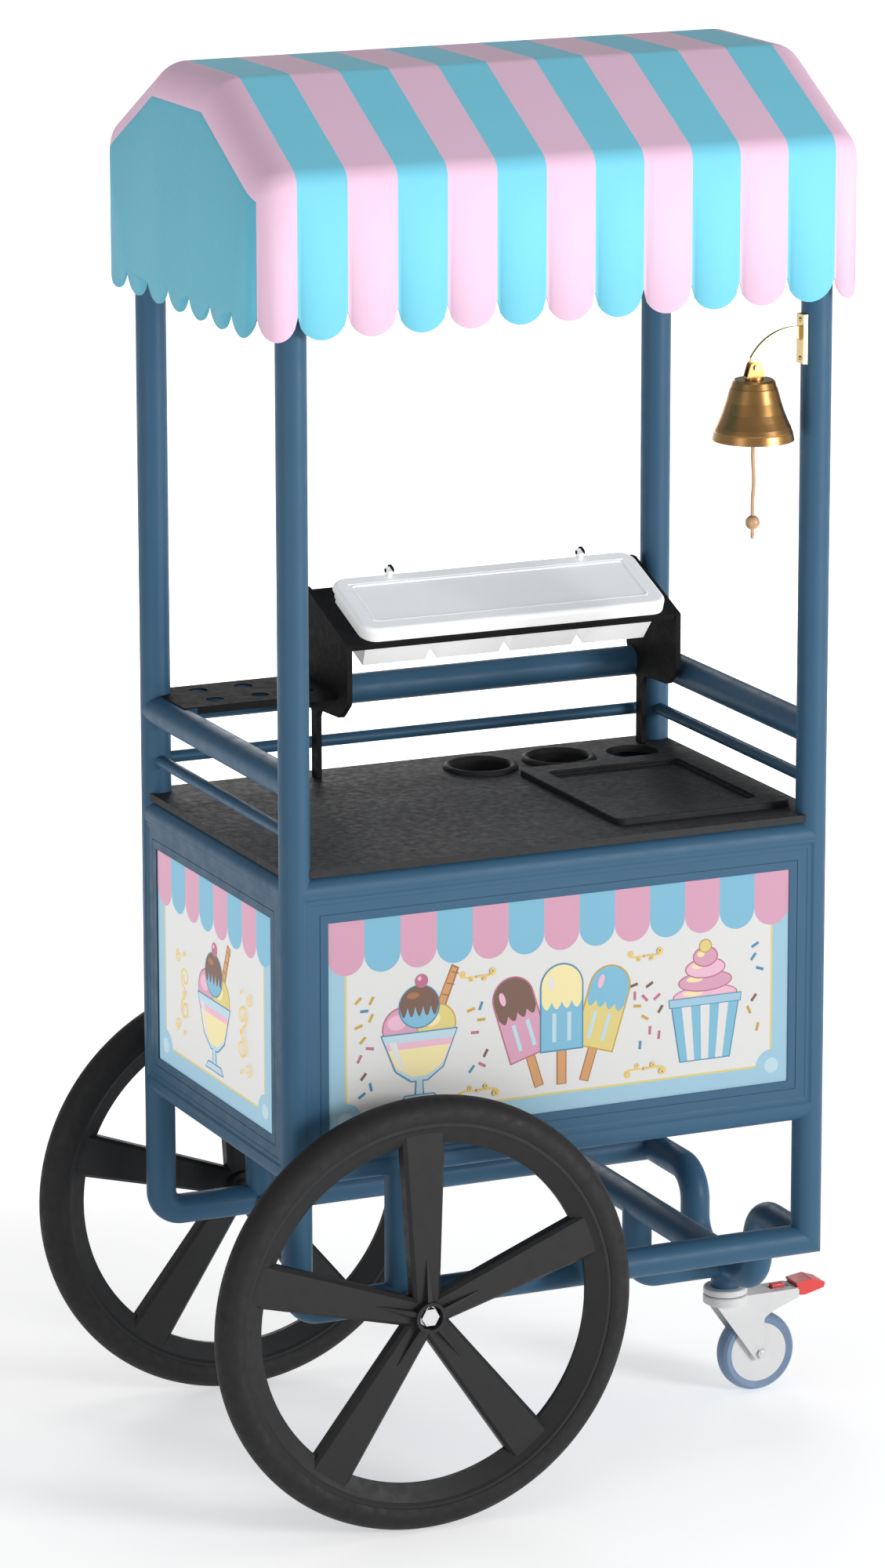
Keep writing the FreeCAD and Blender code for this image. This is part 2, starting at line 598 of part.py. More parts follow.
# the skirt is cut short at the back, where the lid swings down and forward
skirt_gap = block((lid_x0 - 1.0, bin_y1 - 30.0, -1.0), (lid_x1 + 1.0, lid_y1 + 1.0, lid_h - 9.0))
lid = cut(lid, cavity, panel_cut, skirt_gap)
knuckles = []
bores = []
for x in ear_x:
    knuckles += [block((x - ear_t / 2, lid_pin_y - 12.0, lid_h - 6.0), (x + ear_t / 2, lid_pin_y, lid_pin_z + 5.0)),
                 bar((x - ear_t / 2, lid_pin_y, lid_pin_z), (x + ear_t / 2, lid_pin_y, lid_pin_z), lid_pin_r + 2.5)]
    bores.append(bar((x - ear_t, lid_pin_y, lid_pin_z), (x + ear_t, lid_pin_y, lid_pin_z), lid_pin_r + run_gap))
on_rack(cut(fuse(lid, *knuckles), *bores), "bin_lid")

# ---- cone holder ---------------------------------------------------------------------
holder_y0, holder_y1, holder_t, holder_edge, cone_r = sizes(
    holder_front_y=148.0, holder_back_y=284.0, holder_sheet=2.0, holder_edge_depth=9.0, cone_hole_radius=13.7)
cone_x = size("cone_first_x", -347.5)
cone_y = size("cone_first_y", 184.5)
cone_pitch_x, cone_pitch_y = sizes(cone_pitch_x=72.0, cone_pitch_y=65.0)
holder_z = guard_z + tube_r
holder = fuse(block((-post_x, holder_y0, holder_z), (rack_x0, holder_y1, holder_z + holder_t)),
              block((-post_x + tube_r, holder_y0, holder_z - holder_edge),
                    (rack_x0, holder_y0 + holder_t, holder_z + holder_t)))
cones = [bar((cone_x + cone_pitch_x * i, cone_y + cone_pitch_y * j, holder_z - 1.0),
             (cone_x + cone_pitch_x * i, cone_y + cone_pitch_y * j, holder_z + 10.0), cone_r)
         for i in range(3) for j in range(2)]
node(cut(holder, post_bar[-1, 1], *cones), "cone_holder")

# ---- canopy --------------------------------------------------------------------------
canopy_x, canopy_y, valance_z, shoulder_z, roof_z, roof_y, canopy_t = sizes(
    canopy_half_length=474.0, canopy_half_width=303.0, valance_bottom_height=1745.0, canopy_shoulder_height=1976.0,
    canopy_roof_height=2089.0, canopy_flat_half_width=98.5, canopy_thickness=5.0)
stripe_w, side_w, canopy_round, canopy_end_round = sizes(
    front_stripe_width=75.95, side_scallop_width=78.4, canopy_edge_radius=30.0, canopy_end_radius=26.0)
BELOW = 30.0


def canopy_block(inset):
    """The canopy's outline, inset all round by a thickness, with every long edge rounded."""
    hx, hy, low = canopy_x - inset, canopy_y - inset, valance_z - (BELOW if inset else 0)
    outline = [(-hx, -hy, low), (-hx, hy, low), (-hx, hy, shoulder_z - inset * 0.6), (-hx, roof_y, roof_z - inset),
               (-hx, -roof_y, roof_z - inset), (-hx, -hy, shoulder_z - inset * 0.6)]
    r = canopy_round - inset
    shape = plate(outline, (2 * hx, 0, 0), [0, 0, r, r, r, r])
    ends = [e for e in shape.Edges if abs(abs(e.CenterOfMass.x) - hx) < 0.01 and e.BoundBox.ZMax > low + 10]
    return shape.makeFillet(canopy_end_round - inset, ends)


def cusp(centre, radius, along):
    """The notch between two neighbouring half-round scallops."""
    top = valance_z + radius
    far = 2 * canopy_x
    if along == "x":
        notch = brick((centre - radius, -far, valance_z - 5), (centre + radius, far, top))
        pair = [rod((centre + s * radius, -far - 1, top), Y, radius, 2 * far + 2) for s in (-1, 1)]
    else:
        notch = brick((-far, centre - radius, valance_z - 5), (far, centre + radius, top))
        pair = [rod((-far - 1, centre + s * radius, top), X, radius, 2 * far + 2) for s in (-1, 1)]
    return notch.cut(pair[0]).cut(pair[1])


stripes = int((2 * canopy_x - stripe_w) // stripe_w)
side_scallops = int((2 * canopy_y - 20) // side_w)
canopy = canopy_block(0).cut(canopy_block(canopy_t))
for i in range(stripes + 1):
    canopy = canopy.cut(cusp((i - stripes / 2) * stripe_w, stripe_w / 2, "x"))
for i in range(side_scallops + 1):
    canopy = canopy.cut(cusp((i - side_scallops / 2) * side_w, side_w / 2, "y"))
node(feature(biggest(canopy)), "canopy")

bow_r, bow_gap, eave_bend, roof_bend = sizes(canopy_bow_radius=10.0, canopy_bow_gap=0.8, bow_eave_bend=14.0,
                                             bow_roof_bend=40.0)
fall = (roof_z - shoulder_z) / (canopy_y - roof_y)
offset = canopy_t + bow_gap + bow_r
drop = offset * math.hypot(1, fall)
bow_top = roof_z - offset
bow_y = roof_y - (drop - offset) / fall
eave_z = roof_z - (post_y - roof_y) * fall - drop
bows = None
for sx in (-1, 1):
    x = sx * post_x
    bow = swept([(x, -post_y, post_top), (x, -post_y, eave_z), (x, -bow_y, bow_top), (x, bow_y, bow_top),
                 (x, post_y, eave_z), (x, post_y, post_top)], [eave_bend, roof_bend, roof_bend, eave_bend], bow_r)
    bows = bow if bows is None else bows.fuse(bow)
for sy in (-1, 1):
    bows = bows.fuse(rod((-post_x, sy * bow_y, bow_top), X, bow_r, 2 * post_x))
    bows = bows.fuse(rod((-post_x, sy * post_y, eave_z - bow_r * 0.8), X, bow_r, 2 * post_x))
for sx in (-1, 1):
    for sy in (-1, 1):
        bows = bows.fuse(rod((sx * post_x, sy * post_y, post_top), Z, tube_r - tube_wall, 4))
node(feature(bows), "canopy_frame")

# ---- bell ----------------------------------------------------------------------------
bell_x, bell_pin_z, bell_pin_r, tongue_t, ear_gap, ear_wall = sizes(
    bell_place_x=311.0, bell_pin_height=1649.0, bell_pin_radius=2.5, bell_tongue_thickness=6.0, bell_ear_gap=0.5,
    bell_ear_thickness=3.5)
plate_h, plate_w, plate_t, plate_mid = sizes(bell_plate_height=72.0, bell_plate_width=22.0, bell_plate_thickness=4.0,
                                             bell_plate_mid_height=1685.0)
bell_y = -post_y
plate_x = post_x - tube_r
mount_plate = brick((plate_x - plate_t, bell_y - plate_w / 2, plate_mid - plate_h / 2),
                    (plate_x + 5, bell_y + plate_w / 2, plate_mid + plate_h / 2))
mount_plate = mount_plate.cut(rod((post_x, bell_y, plate_mid - plate_h), Z, tube_r, 2 * plate_h))
for s in (-1, 1):
    mount_plate = mount_plate.fuse(Part.makeSphere(3.6, Vector(plate_x - plate_t + 1, bell_y,
                                                               plate_mid + s * plate_h * 0.39)))


def bell_arm():
    """Flat curved arm: two arcs that taper from the plate down to the pin's eye."""
    root, tip = plate_x - plate_t + 0.5, bell_x
    upper = Part.Arc(Vector(root, 0, plate_mid + 18), Vector(bell_x + 31, 0, plate_mid + 11.5),
                     Vector(tip - 6.0, 0, bell_pin_z + 14)).toShape()
    lower = Part.Arc(Vector(tip + 5.5, 0, bell_pin_z + 8), Vector(bell_x + 30, 0, plate_mid + 0.5),
                     Vector(root, 0, plate_mid - 2)).toShape()
    eye_l = Part.LineSegment(Vector(tip - 6.0, 0, bell_pin_z + 14), Vector(tip - 6.0, 0, bell_pin_z)).toShape()
    eye_b = Part.Arc(Vector(tip - 6.0, 0, bell_pin_z), Vector(tip, 0, bell_pin_z - 6.0),
                     Vector(tip + 6.0, 0, bell_pin_z)).toShape()
    eye_r = Part.LineSegment(Vector(tip + 6.0, 0, bell_pin_z), Vector(tip + 5.5, 0, bell_pin_z + 8)).toShape()
    back = Part.LineSegment(Vector(root, 0, plate_mid - 2), Vector(root, 0, plate_mid + 18)).toShape()
    face = Part.Face(Part.Wire([upper, eye_l, eye_b, eye_r, lower, back]))
    solid = face.extrude(Vector(0, tongue_t, 0))
    solid.translate(Vector(0, bell_y - tongue_t / 2, 0))
    return solid


pin_reach = tongue_t / 2 + ear_gap + ear_wall + 1.5
bracket = mount_plate.fuse(bell_arm())
bracket = bracket.fuse(rod((bell_x, bell_y - pin_reach, bell_pin_z), Y, bell_pin_r, 2 * pin_reach))
for s in (-1, 1):
    head = rod((bell_x, bell_y + s * pin_reach, bell_pin_z), Y * s, bell_pin_r + 1.2, 1.5)
    bracket = bracket.fuse(head)
node(feature(bracket.removeSplitter()), "bell_bracket")

bell_r, bell_h, bell_wall = sizes(bell_mouth_radius=59.3, bell_height=88.0, bell_wall=3.0)
crown = -17.5
outer = [(14.0, crown + 4.5), (14.0, crown), (28.0, crown), (31.0, crown - 3.0), (33.6, crown - 11.5),
         (34.2, crown - 11.7), (34.6, crown - 12.5), (39.8, crown - 31.5), (45.1, crown - 47.5), (49.4, crown - 58.0),
         (54.0, crown - 68.0), (56.2, crown - 74.5), (56.0, crown - 75.3), (56.9, crown - 76.0),
         (bell_r, crown - bell_h)]
inner = [(bell_r - bell_wall, crown - bell_h), (51.0, crown - 68.0), (42.1, crown - 47.5), (31.6, crown - 12.0),
         (28.0, crown - bell_wall - 1.0)]
staple_z = bell_pin_z - 34.0
staple_r = size("clapper_staple_radius", 1.5)
shell = turned([(0.0, crown + 4.5)] + outer + inner + [(0.0, crown - bell_wall - 1.0)],
               (bell_x, bell_y, bell_pin_z))
parts = [shell]
for s in (-1, 1):
    y0 = bell_y + s * (tongue_t / 2 + ear_gap + ear_wall / 2)
    side = plate([(bell_x - 14.0, y0 - ear_wall / 2, bell_pin_z + crown + 3), (bell_x + 14.0, y0 - ear_wall / 2,
                  bell_pin_z + crown + 3), (bell_x + 7.5, y0 - ear_wall / 2, bell_pin_z + 7.5),
                  (bell_x - 7.5, y0 - ear_wall / 2, bell_pin_z + 7.5)], (0, ear_wall, 0), [0, 0, 6, 6])
    parts.append(feature(side.cut(rod((bell_x, bell_y - 20, bell_pin_z), Y, bell_pin_r + run_gap, 40))))
    parts.append(block((bell_x - 5.0, bell_y + s * 6.0 - 1.5, staple_z - 5.0),
                       (bell_x + 5.0, bell_y + s * 6.0 + 1.5, bell_pin_z + crown - bell_wall)))
parts.append(bar((bell_x, bell_y - 9.0, staple_z), (bell_x, bell_y + 9.0, staple_z), staple_r))
node(fuse(*parts), "bell")

clapper_r, clapper_low = sizes(clapper_ball_radius=10.0, clapper_ball_drop=98.0)
ball_z = bell_pin_z - clapper_low
rope_top = ball_z - clapper_r - 2.0
clapper = fuse(block((bell_x - 4.0, bell_y - 3.0, staple_z - 12.0), (bell_x + 4.0, bell_y + 3.0, staple_z + 5.0)),
               bar((bell_x, bell_y, ball_z), (bell_x, bell_y, staple_z - 8.0), 2.5),
               primitive("Sphere", (bell_x, bell_y, ball_z), None, Radius=clapper_r),
               bar((bell_x, bell_y, rope_top), (bell_x, bell_y, ball_z), 3.4))
node(cut(clapper, bar((bell_x, bell_y - 10.0, staple_z), (bell_x, bell_y + 10.0, staple_z), staple_r + run_gap)),
     "clapper")

# the bell rope: a limp cord in gentle uneven waves, down to the bead
rope_d, bead_z, bead_r, bead_tail = sizes(rope_diameter=5.6, bead_height=1421.5, bead_radius=10.7, bead_tail=24.0)
ROUTE = [(311.0, 1539.0), (310.0, 1521.0), (311.6, 1500.0), (312.9, 1478.0), (310.3, 1455.0), (311.0, 1431.0)]
route = [Vector(x, bell_y, z) for x, z in ROUTE]
route[0].z = rope_top - 0.25
bends = []
for before, here, after in zip(route, route[1:], route[2:]):
    turn = (here - before).getAngle(after - here)
    bends.append(0.45 * min((here - before).Length, (after - here).Length) / math.tan(turn / 2))
print("rope bend radii", [round(r, 1) for r in bends], "least allowed", 3 * rope_d)
rope = swept([tuple(p) for p in route], bends, rope_d / 2)
rope_length = rounded_wire([tuple(p) for p in route], bends, False).Length
print("rope length %.1f, volume over section times length %.5f"
      % (rope_length, rope.Volume / (math.pi * rope_d ** 2 / 4 * rope_length)))
node(feature(rope), "bell_rope")
bead_top = route[-1].z
bead = cut(fuse(primitive("Sphere", (bell_x, bell_y, bead_z), None, Radius=bead_r),
                bar((bell_x, bell_y, bead_z - bead_tail), (bell_x, bell_y, bead_z), rope_d / 2)),
           bar((bell_x, bell_y, Size(bead_top, "(%r)" % bead_top)), (bell_x, bell_y, bead_z + bead_r * 2), rope_d * 0.7))
node(bead, "rope_bead")

# ---- big wheels ----------------------------------------------------------------------
wheel_d, wheel_y, tyre_w, lip_r, rim_r = sizes(
    wheel_diameter=650.0, wheel_track_half=348.0, tyre_width=48.6, rim_lip_radius=289.0, rim_hole_radius=256.0)
hub_r, hub_half, recess_r, recess_floor = sizes(hub_radius=23.0, hub_half_length=26.0, hub_recess_radius=18.0,
                                                hub_recess_floor=9.6)
spoke_root, spoke_tip, spoke_t, spoke_edge, spoke_count, spoke_lean = sizes(
    spoke_root_width=40.0, spoke_tip_width=68.0, spoke_half_thickness=13.5, spoke_edge=5.0, spoke_number=5.0,
    spoke_lean_angle=1.0)
wheel_r = wheel_d / 2


def spoke_section(u, v, r, width, half_t, edge):
    corners = [(width / 2, half_t - edge), (width / 2 - edge, half_t), (edge - width / 2, half_t),
               (-width / 2, half_t - edge)]
    corners += [(-a, -b) for a, b in corners]
    pts = [u * r + v * a + Vector(0, b, 0) for a, b in corners]
    return Part.makePolygon(pts + [pts[0]])


def rib_section(u, v, r, width, base, top):
    pts = [u * r + v * (width / 2) + Vector(0, base, 0), u * r + v * (width * 0.3) + Vector(0, top, 0),
           u * r - v * (width * 0.3) + Vector(0, top, 0), u * r - v * (width / 2) + Vector(0, base, 0)]
    return Part.makePolygon(pts + [pts[0]])


def big_wheel(out):
    """Spoked wheel about the origin; out is -1 when its outer face looks along -Y."""
    lip_y = tyre_w / 2 - 4.0
    profile = [(rim_r, -4), (lip_r - 9, 3 - lip_y), (lip_r - 5, 0 - lip_y), (lip_r, -lip_y), (lip_r, lip_y),
               (lip_r - 5, lip_y), (lip_r - 9, lip_y - 3), (rim_r, 4)]
    pts = [Vector(r, t, 0) for r, t in profile]
    wheel = Part.Face(Part.makePolygon(pts + [pts[0]])).revolve(Vector(), Y, 360)
    wheel = wheel.fuse(rod((0, -hub_half, 0), Y, hub_r, 2 * hub_half))
    count = int(spoke_count)
    for i in range(count):
        a = math.radians(90 + spoke_lean + 360 * i / count)
        u, v = Vector(math.cos(a), 0, math.sin(a)), Vector(-math.sin(a), 0, math.cos(a))
        wheel = wheel.fuse(Part.makeLoft([spoke_section(u, v, 10, spoke_root, spoke_t, spoke_edge),
                                          spoke_section(u, v, lip_r - 7, spoke_tip, spoke_t, spoke_edge)],
                                         True, True))
        wheel = wheel.fuse(Part.makeLoft([rib_section(u, v, 12, 14, out * 10, out * (hub_half - 2)),
                                          rib_section(u, v, 84, 3, out * 10, out * (spoke_t + 0.7))], True, True))
    wheel = wheel.cut(rod((0, -3 * hub_half, 0), Y, axle_d / 2 + run_gap, 6 * hub_half))
    return wheel.cut(rod((0, out * recess_floor, 0), Y * out, recess_r, 2 * hub_half)).removeSplitter()


hex_af, hex_h, washer_r, washer_t, nut_h = sizes(bolt_head_across_flats=24.0, bolt_head_height=10.0,
                                                 washer_radius=15.0, washer_thickness=2.5, axle_nut_height=10.0)
side_gap = size("wheel_side_clearance", 0.4)
spacer_r = size("axle_spacer_radius", 14.0)


def hexagon(centre, across, thick):
    """Hexagon head or nut with its axis along Y."""
    r = across / math.sqrt(3)
    pts = [(centre[0] + r * math.cos(math.radians(60 * i)), centre[1], centre[2] + r * math.sin(math.radians(60 * i)))
           for i in range(6)]
    return plate(pts, (0, thick, 0))


def stub_axle(out):
    """Bolt from the wheel's recess through the hub, a spacer and the lower tube to its nut."""
    seat_y = wheel_y + recess_floor + side_gap
    inside = post_y - tube_r
    shape = rod((axle_x, out * (inside - nut_h - 3), low_z), Y * out, axle_d / 2, seat_y + washer_t - inside + nut_h + 3)
    shape = shape.fuse(rod((axle_x, out * seat_y, low_z), Y * out, washer_r, washer_t))
    shape = shape.fuse(hexagon((axle_x, out * (seat_y + washer_t), low_z), hex_af, out * hex_h))
    shape = shape.fuse(hexagon((axle_x, out * (inside - nut_h), low_z), hex_af, out * nut_h))
    spacer0, spacer1 = post_y + tube_r, wheel_y - hub_half - side_gap
    return shape.fuse(rod((axle_x, out * spacer0, low_z), Y * out, spacer_r, spacer1 - spacer0))


for sy, where in FRONT_REAR:
    shape = big_wheel(sy)
    shape.translate(Vector(axle_x, sy * wheel_y, low_z))
    node(feature(shape), "wheel_" + where)
    ring = primitive("Torus", (axle_x, wheel_y * sy, low_z), Rotation(X, 90), Radius1=wheel_r - tyre_w / 2,
                     Radius2=tyre_w / 2)
    seat_bar = bar((axle_x, wheel_y * sy - tyre_w, low_z), (axle_x, wheel_y * sy + tyre_w, low_z), lip_r)
    node(cut(ring, seat_bar), "tyre_" + where)
    node(feature(stub_axle(sy)), "axle_" + where)

# ---- caster --------------------------------------------------------------------------
caster_d, caster_w, caster_trail, disc_r, pin_r = sizes(
    caster_wheel_diameter=125.0, caster_wheel_width=32.0, caster_trail=51.6, caster_disc_radius=46.5,
    caster_pin_radius=4.0)
ring_r, ring_t, ring_gap, king_r, cheek_gap, cheek_t, arm_len = sizes(
    caster_ring_radius=34.0, caster_ring_thickness=11.0, caster_ring_gap=1.0, kingpin_radius=6.0,
    caster_cheek_gap=3.0, caster_cheek_thickness=3.0, caster_arm_length=116.0)
caster_r = caster_d / 2
wheel_cx = post_x + caster_trail
cheek_y = caster_w / 2 + cheek_gap
head = fuse(soften(bar((post_x, 0.0, stem_low_z - ring_t), (post_x, 0.0, stem_low_z), ring_r), 3.0,
                   lambda e: e.BoundBox.ZLength < 0.1),
            bar((post_x, 0.0, stem_low_z - ring_t - 26.0), (post_x, 0.0, stem_low_z - ring_t), king_r))
node(head, "caster_head")

fork_top = stem_low_z - ring_t - ring_gap
arm_x = post_x + arm_len
arm_low = fork_top - 16.0
arm_bend = arm_x - 44.0
neck_x = wheel_cx + 5.0
outline = [(post_x - 24, fork_top - 14), (post_x - 20, fork_top - 2), (arm_x - 6, fork_top - 2), (arm_x, fork_top - 4),
           (arm_x, arm_low), (arm_bend, arm_low - 16), (neck_x, arm_low - 26), (neck_x, caster_r),
           (wheel_cx, caster_r - 11), (wheel_cx - 9, caster_r - 9)]
radii = [4, 2, 0, 2, 3, 6, 8, 5, 6, 5]
fork = rod((post_x, 0, fork_top - 14), Z, ring_r + 0.5, 14)
fork = fork.makeFillet(2.5, [e for e in fork.Edges if e.BoundBox.ZLength < 0.1])
for s in (-1, 1):
    y0 = cheek_y if s > 0 else -cheek_y - cheek_t
    cheek = plate([(x, y0, z) for x, z in outline], (0, cheek_t, 0), radii)
    fork = fork.fuse(cheek.cut(rod((wheel_cx, -3 * caster_w, caster_r), Y, pin_r, 6 * caster_w)))
fork = fork.fuse(brick((post_x, -cheek_y, fork_top - 6), (arm_x, cheek_y, fork_top - 2)))
fork = fork.fuse(brick((arm_x - 3, -cheek_y, arm_low), (arm_x, cheek_y, fork_top - 3)))
slot_x0, slot_x1 = arm_x - 42, arm_x - 8
fork = fork.cut(brick((slot_x0, -7, fork_top - 7), (slot_x1, 7, fork_top)))
fork = fork.cut(rod((post_x, 0, 0), Z, king_r + run_gap, 2 * fork_top))
node(feature(fork.removeSplitter()), "caster_fork")

half_disc, half_tread = caster_w / 2 - 3, caster_w / 2
hub_bore = pin_r + run_gap
node(turned([(hub_bore, -half_tread), (12.0, -half_tread), (14.0, -half_disc), (disc_r, -half_disc),
             (disc_r, half_disc), (14.0, half_disc), (12.0, half_tread), (hub_bore, half_tread)],
            (wheel_cx, 0.0, caster_r), "XY_Plane"), "caster_wheel")
node(turned([(disc_r, -half_disc), (caster_r - 7, -half_tread), (caster_r - 3, 4 - half_tread),
             (caster_r - 0.8, 9 - half_tread), (caster_r, 13 - half_tread), (caster_r, half_tread - 13),
             (caster_r - 0.8, half_tread - 9), (caster_r - 3, half_tread - 4), (caster_r - 7, half_tread),
             (disc_r, half_disc)], (wheel_cx, 0.0, caster_r), "XY_Plane"), "caster_tyre")
reach = cheek_y + cheek_t
axle_pin = rod((wheel_cx, -reach - 5, caster_r), Y, pin_r, 2 * (reach + 5))
for s in (-1, 1):
    axle_pin = axle_pin.fuse(hexagon((wheel_cx, s * reach, caster_r), 13, s * 4.5))
node(feature(axle_pin), "caster_axle")

tip_x = post_x + 163.0
top = fork_top - 2
pedal = plate([(arm_x, -cheek_y, arm_low + 2), (arm_x, -cheek_y, top), (arm_x - 4, -cheek_y, top + 7),
               (arm_x + 24, -cheek_y, top + 11), (tip_x, -cheek_y, top + 3), (tip_x - 3, -cheek_y, top - 5),
               (arm_x + 12, -cheek_y, arm_low + 1)], (0, 2 * cheek_y, 0), [1, 0, 2, 3, 3, 3, 4])
pedal = pedal.cut(brick((arm_x - 10, -40, arm_low - 5), (arm_x, 40, top)))
for i in range(4):
    groove = rod((arm_x + 6 + 5 * i, -40, top + 12.0 - 0.12 * i), Y, 1.6, 80)
    pedal = pedal.cut(groove)
latch = brick((slot_x0 + 4, -6, fork_top - 6), (slot_x0 + 24, 6, fork_top + 4))
latch = latch.makeFillet(2.0, [e for e in latch.Edges if e.BoundBox.ZMin > fork_top + 3])
foot = brick((slot_x0 - 4, -10, fork_top - 9), (slot_x0 + 30, 10, fork_top - 6))
node(feature(biggest(pedal)), "brake_pedal")
node(feature(latch.fuse(foot).removeSplitter()), "brake_latch")

# ---- check and write -----------------------------------------------------------------
doc.recompute()
for obj in doc.Objects:
    if "Invalid" in obj.State or "Error" in obj.State:
        raise RuntimeError("%s failed: %s" % (obj.Label, obj.State))
os.makedirs("parts", exist_ok=True)
for obj in NODES:
    shape = obj.Shape
    if shape.isNull() or not shape.isValid():
        raise RuntimeError("bad shape: " + obj.Label)
    if len(shape.Solids) != 1:
        print("note:", obj.Label, "has", len(shape.Solids), "solids")
    shape.exportStep("parts/%s.step" % obj.Label)
print("wrote", len(NODES), "parts")
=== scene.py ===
import json
import math
import random

import bmesh
import bpy
from mathutils import Matrix, Vector
from mathutils.geometry import delaunay_2d_cdt


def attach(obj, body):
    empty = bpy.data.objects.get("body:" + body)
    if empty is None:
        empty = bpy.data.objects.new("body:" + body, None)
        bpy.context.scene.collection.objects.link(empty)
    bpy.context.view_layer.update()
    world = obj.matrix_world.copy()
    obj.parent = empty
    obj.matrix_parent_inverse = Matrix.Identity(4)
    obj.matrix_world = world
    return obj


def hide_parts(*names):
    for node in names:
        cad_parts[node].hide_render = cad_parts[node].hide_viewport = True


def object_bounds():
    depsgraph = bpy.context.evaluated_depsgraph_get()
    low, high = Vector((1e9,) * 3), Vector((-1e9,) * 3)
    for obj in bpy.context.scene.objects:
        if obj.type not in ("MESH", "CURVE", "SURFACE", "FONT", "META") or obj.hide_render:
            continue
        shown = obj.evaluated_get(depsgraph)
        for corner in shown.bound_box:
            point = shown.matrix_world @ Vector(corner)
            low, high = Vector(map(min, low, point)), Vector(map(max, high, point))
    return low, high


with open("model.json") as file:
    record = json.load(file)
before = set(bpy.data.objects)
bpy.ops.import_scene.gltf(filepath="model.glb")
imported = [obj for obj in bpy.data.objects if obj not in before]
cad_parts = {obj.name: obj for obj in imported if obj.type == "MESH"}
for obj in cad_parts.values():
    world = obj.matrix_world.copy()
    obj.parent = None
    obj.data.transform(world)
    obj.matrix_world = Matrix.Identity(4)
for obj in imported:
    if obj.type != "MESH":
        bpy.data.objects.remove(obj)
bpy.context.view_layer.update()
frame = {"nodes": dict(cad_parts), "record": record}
NODES = frame["nodes"]
MM = 0.001
scene = bpy.context.scene

# ---- camera --------------------------------------------------------------------------
YAW, PITCH, ROLL = math.radians(24.281), math.radians(13.834), math.radians(-0.084)
fwd = Vector((math.sin(YAW) * math.cos(PITCH), math.cos(YAW) * math.cos(PITCH), -math.sin(PITCH)))
right = Vector((math.cos(YAW), -math.sin(YAW), 0))
up = right.cross(fwd)
right, up = (right * math.cos(ROLL) + up * math.sin(ROLL), up * math.cos(ROLL) - right * math.sin(ROLL))
cam_data = bpy.data.cameras.new("camera")
cam_data.sensor_width = 36.0
cam_data.lens = 150.4746
cam_data.clip_end = 100.0
camera = bpy.data.objects.new("camera", cam_data)
scene.collection.objects.link(camera)
camera.matrix_world = Matrix.Translation((-3.9146, -8.5385, 3.3188)) @ Matrix(
    (right, up, -fwd)).transposed().to_4x4()
scene.camera = camera


# ---- material helpers ----------------------------------------------------------------
def srgb(r, g, b):
    out = []
    for c in (r, g, b):
        c /= 255.0
        out.append(c / 12.92 if c <= 0.04045 else ((c + 0.055) / 1.055) ** 2.4)
    return tuple(out) + (1.0,)


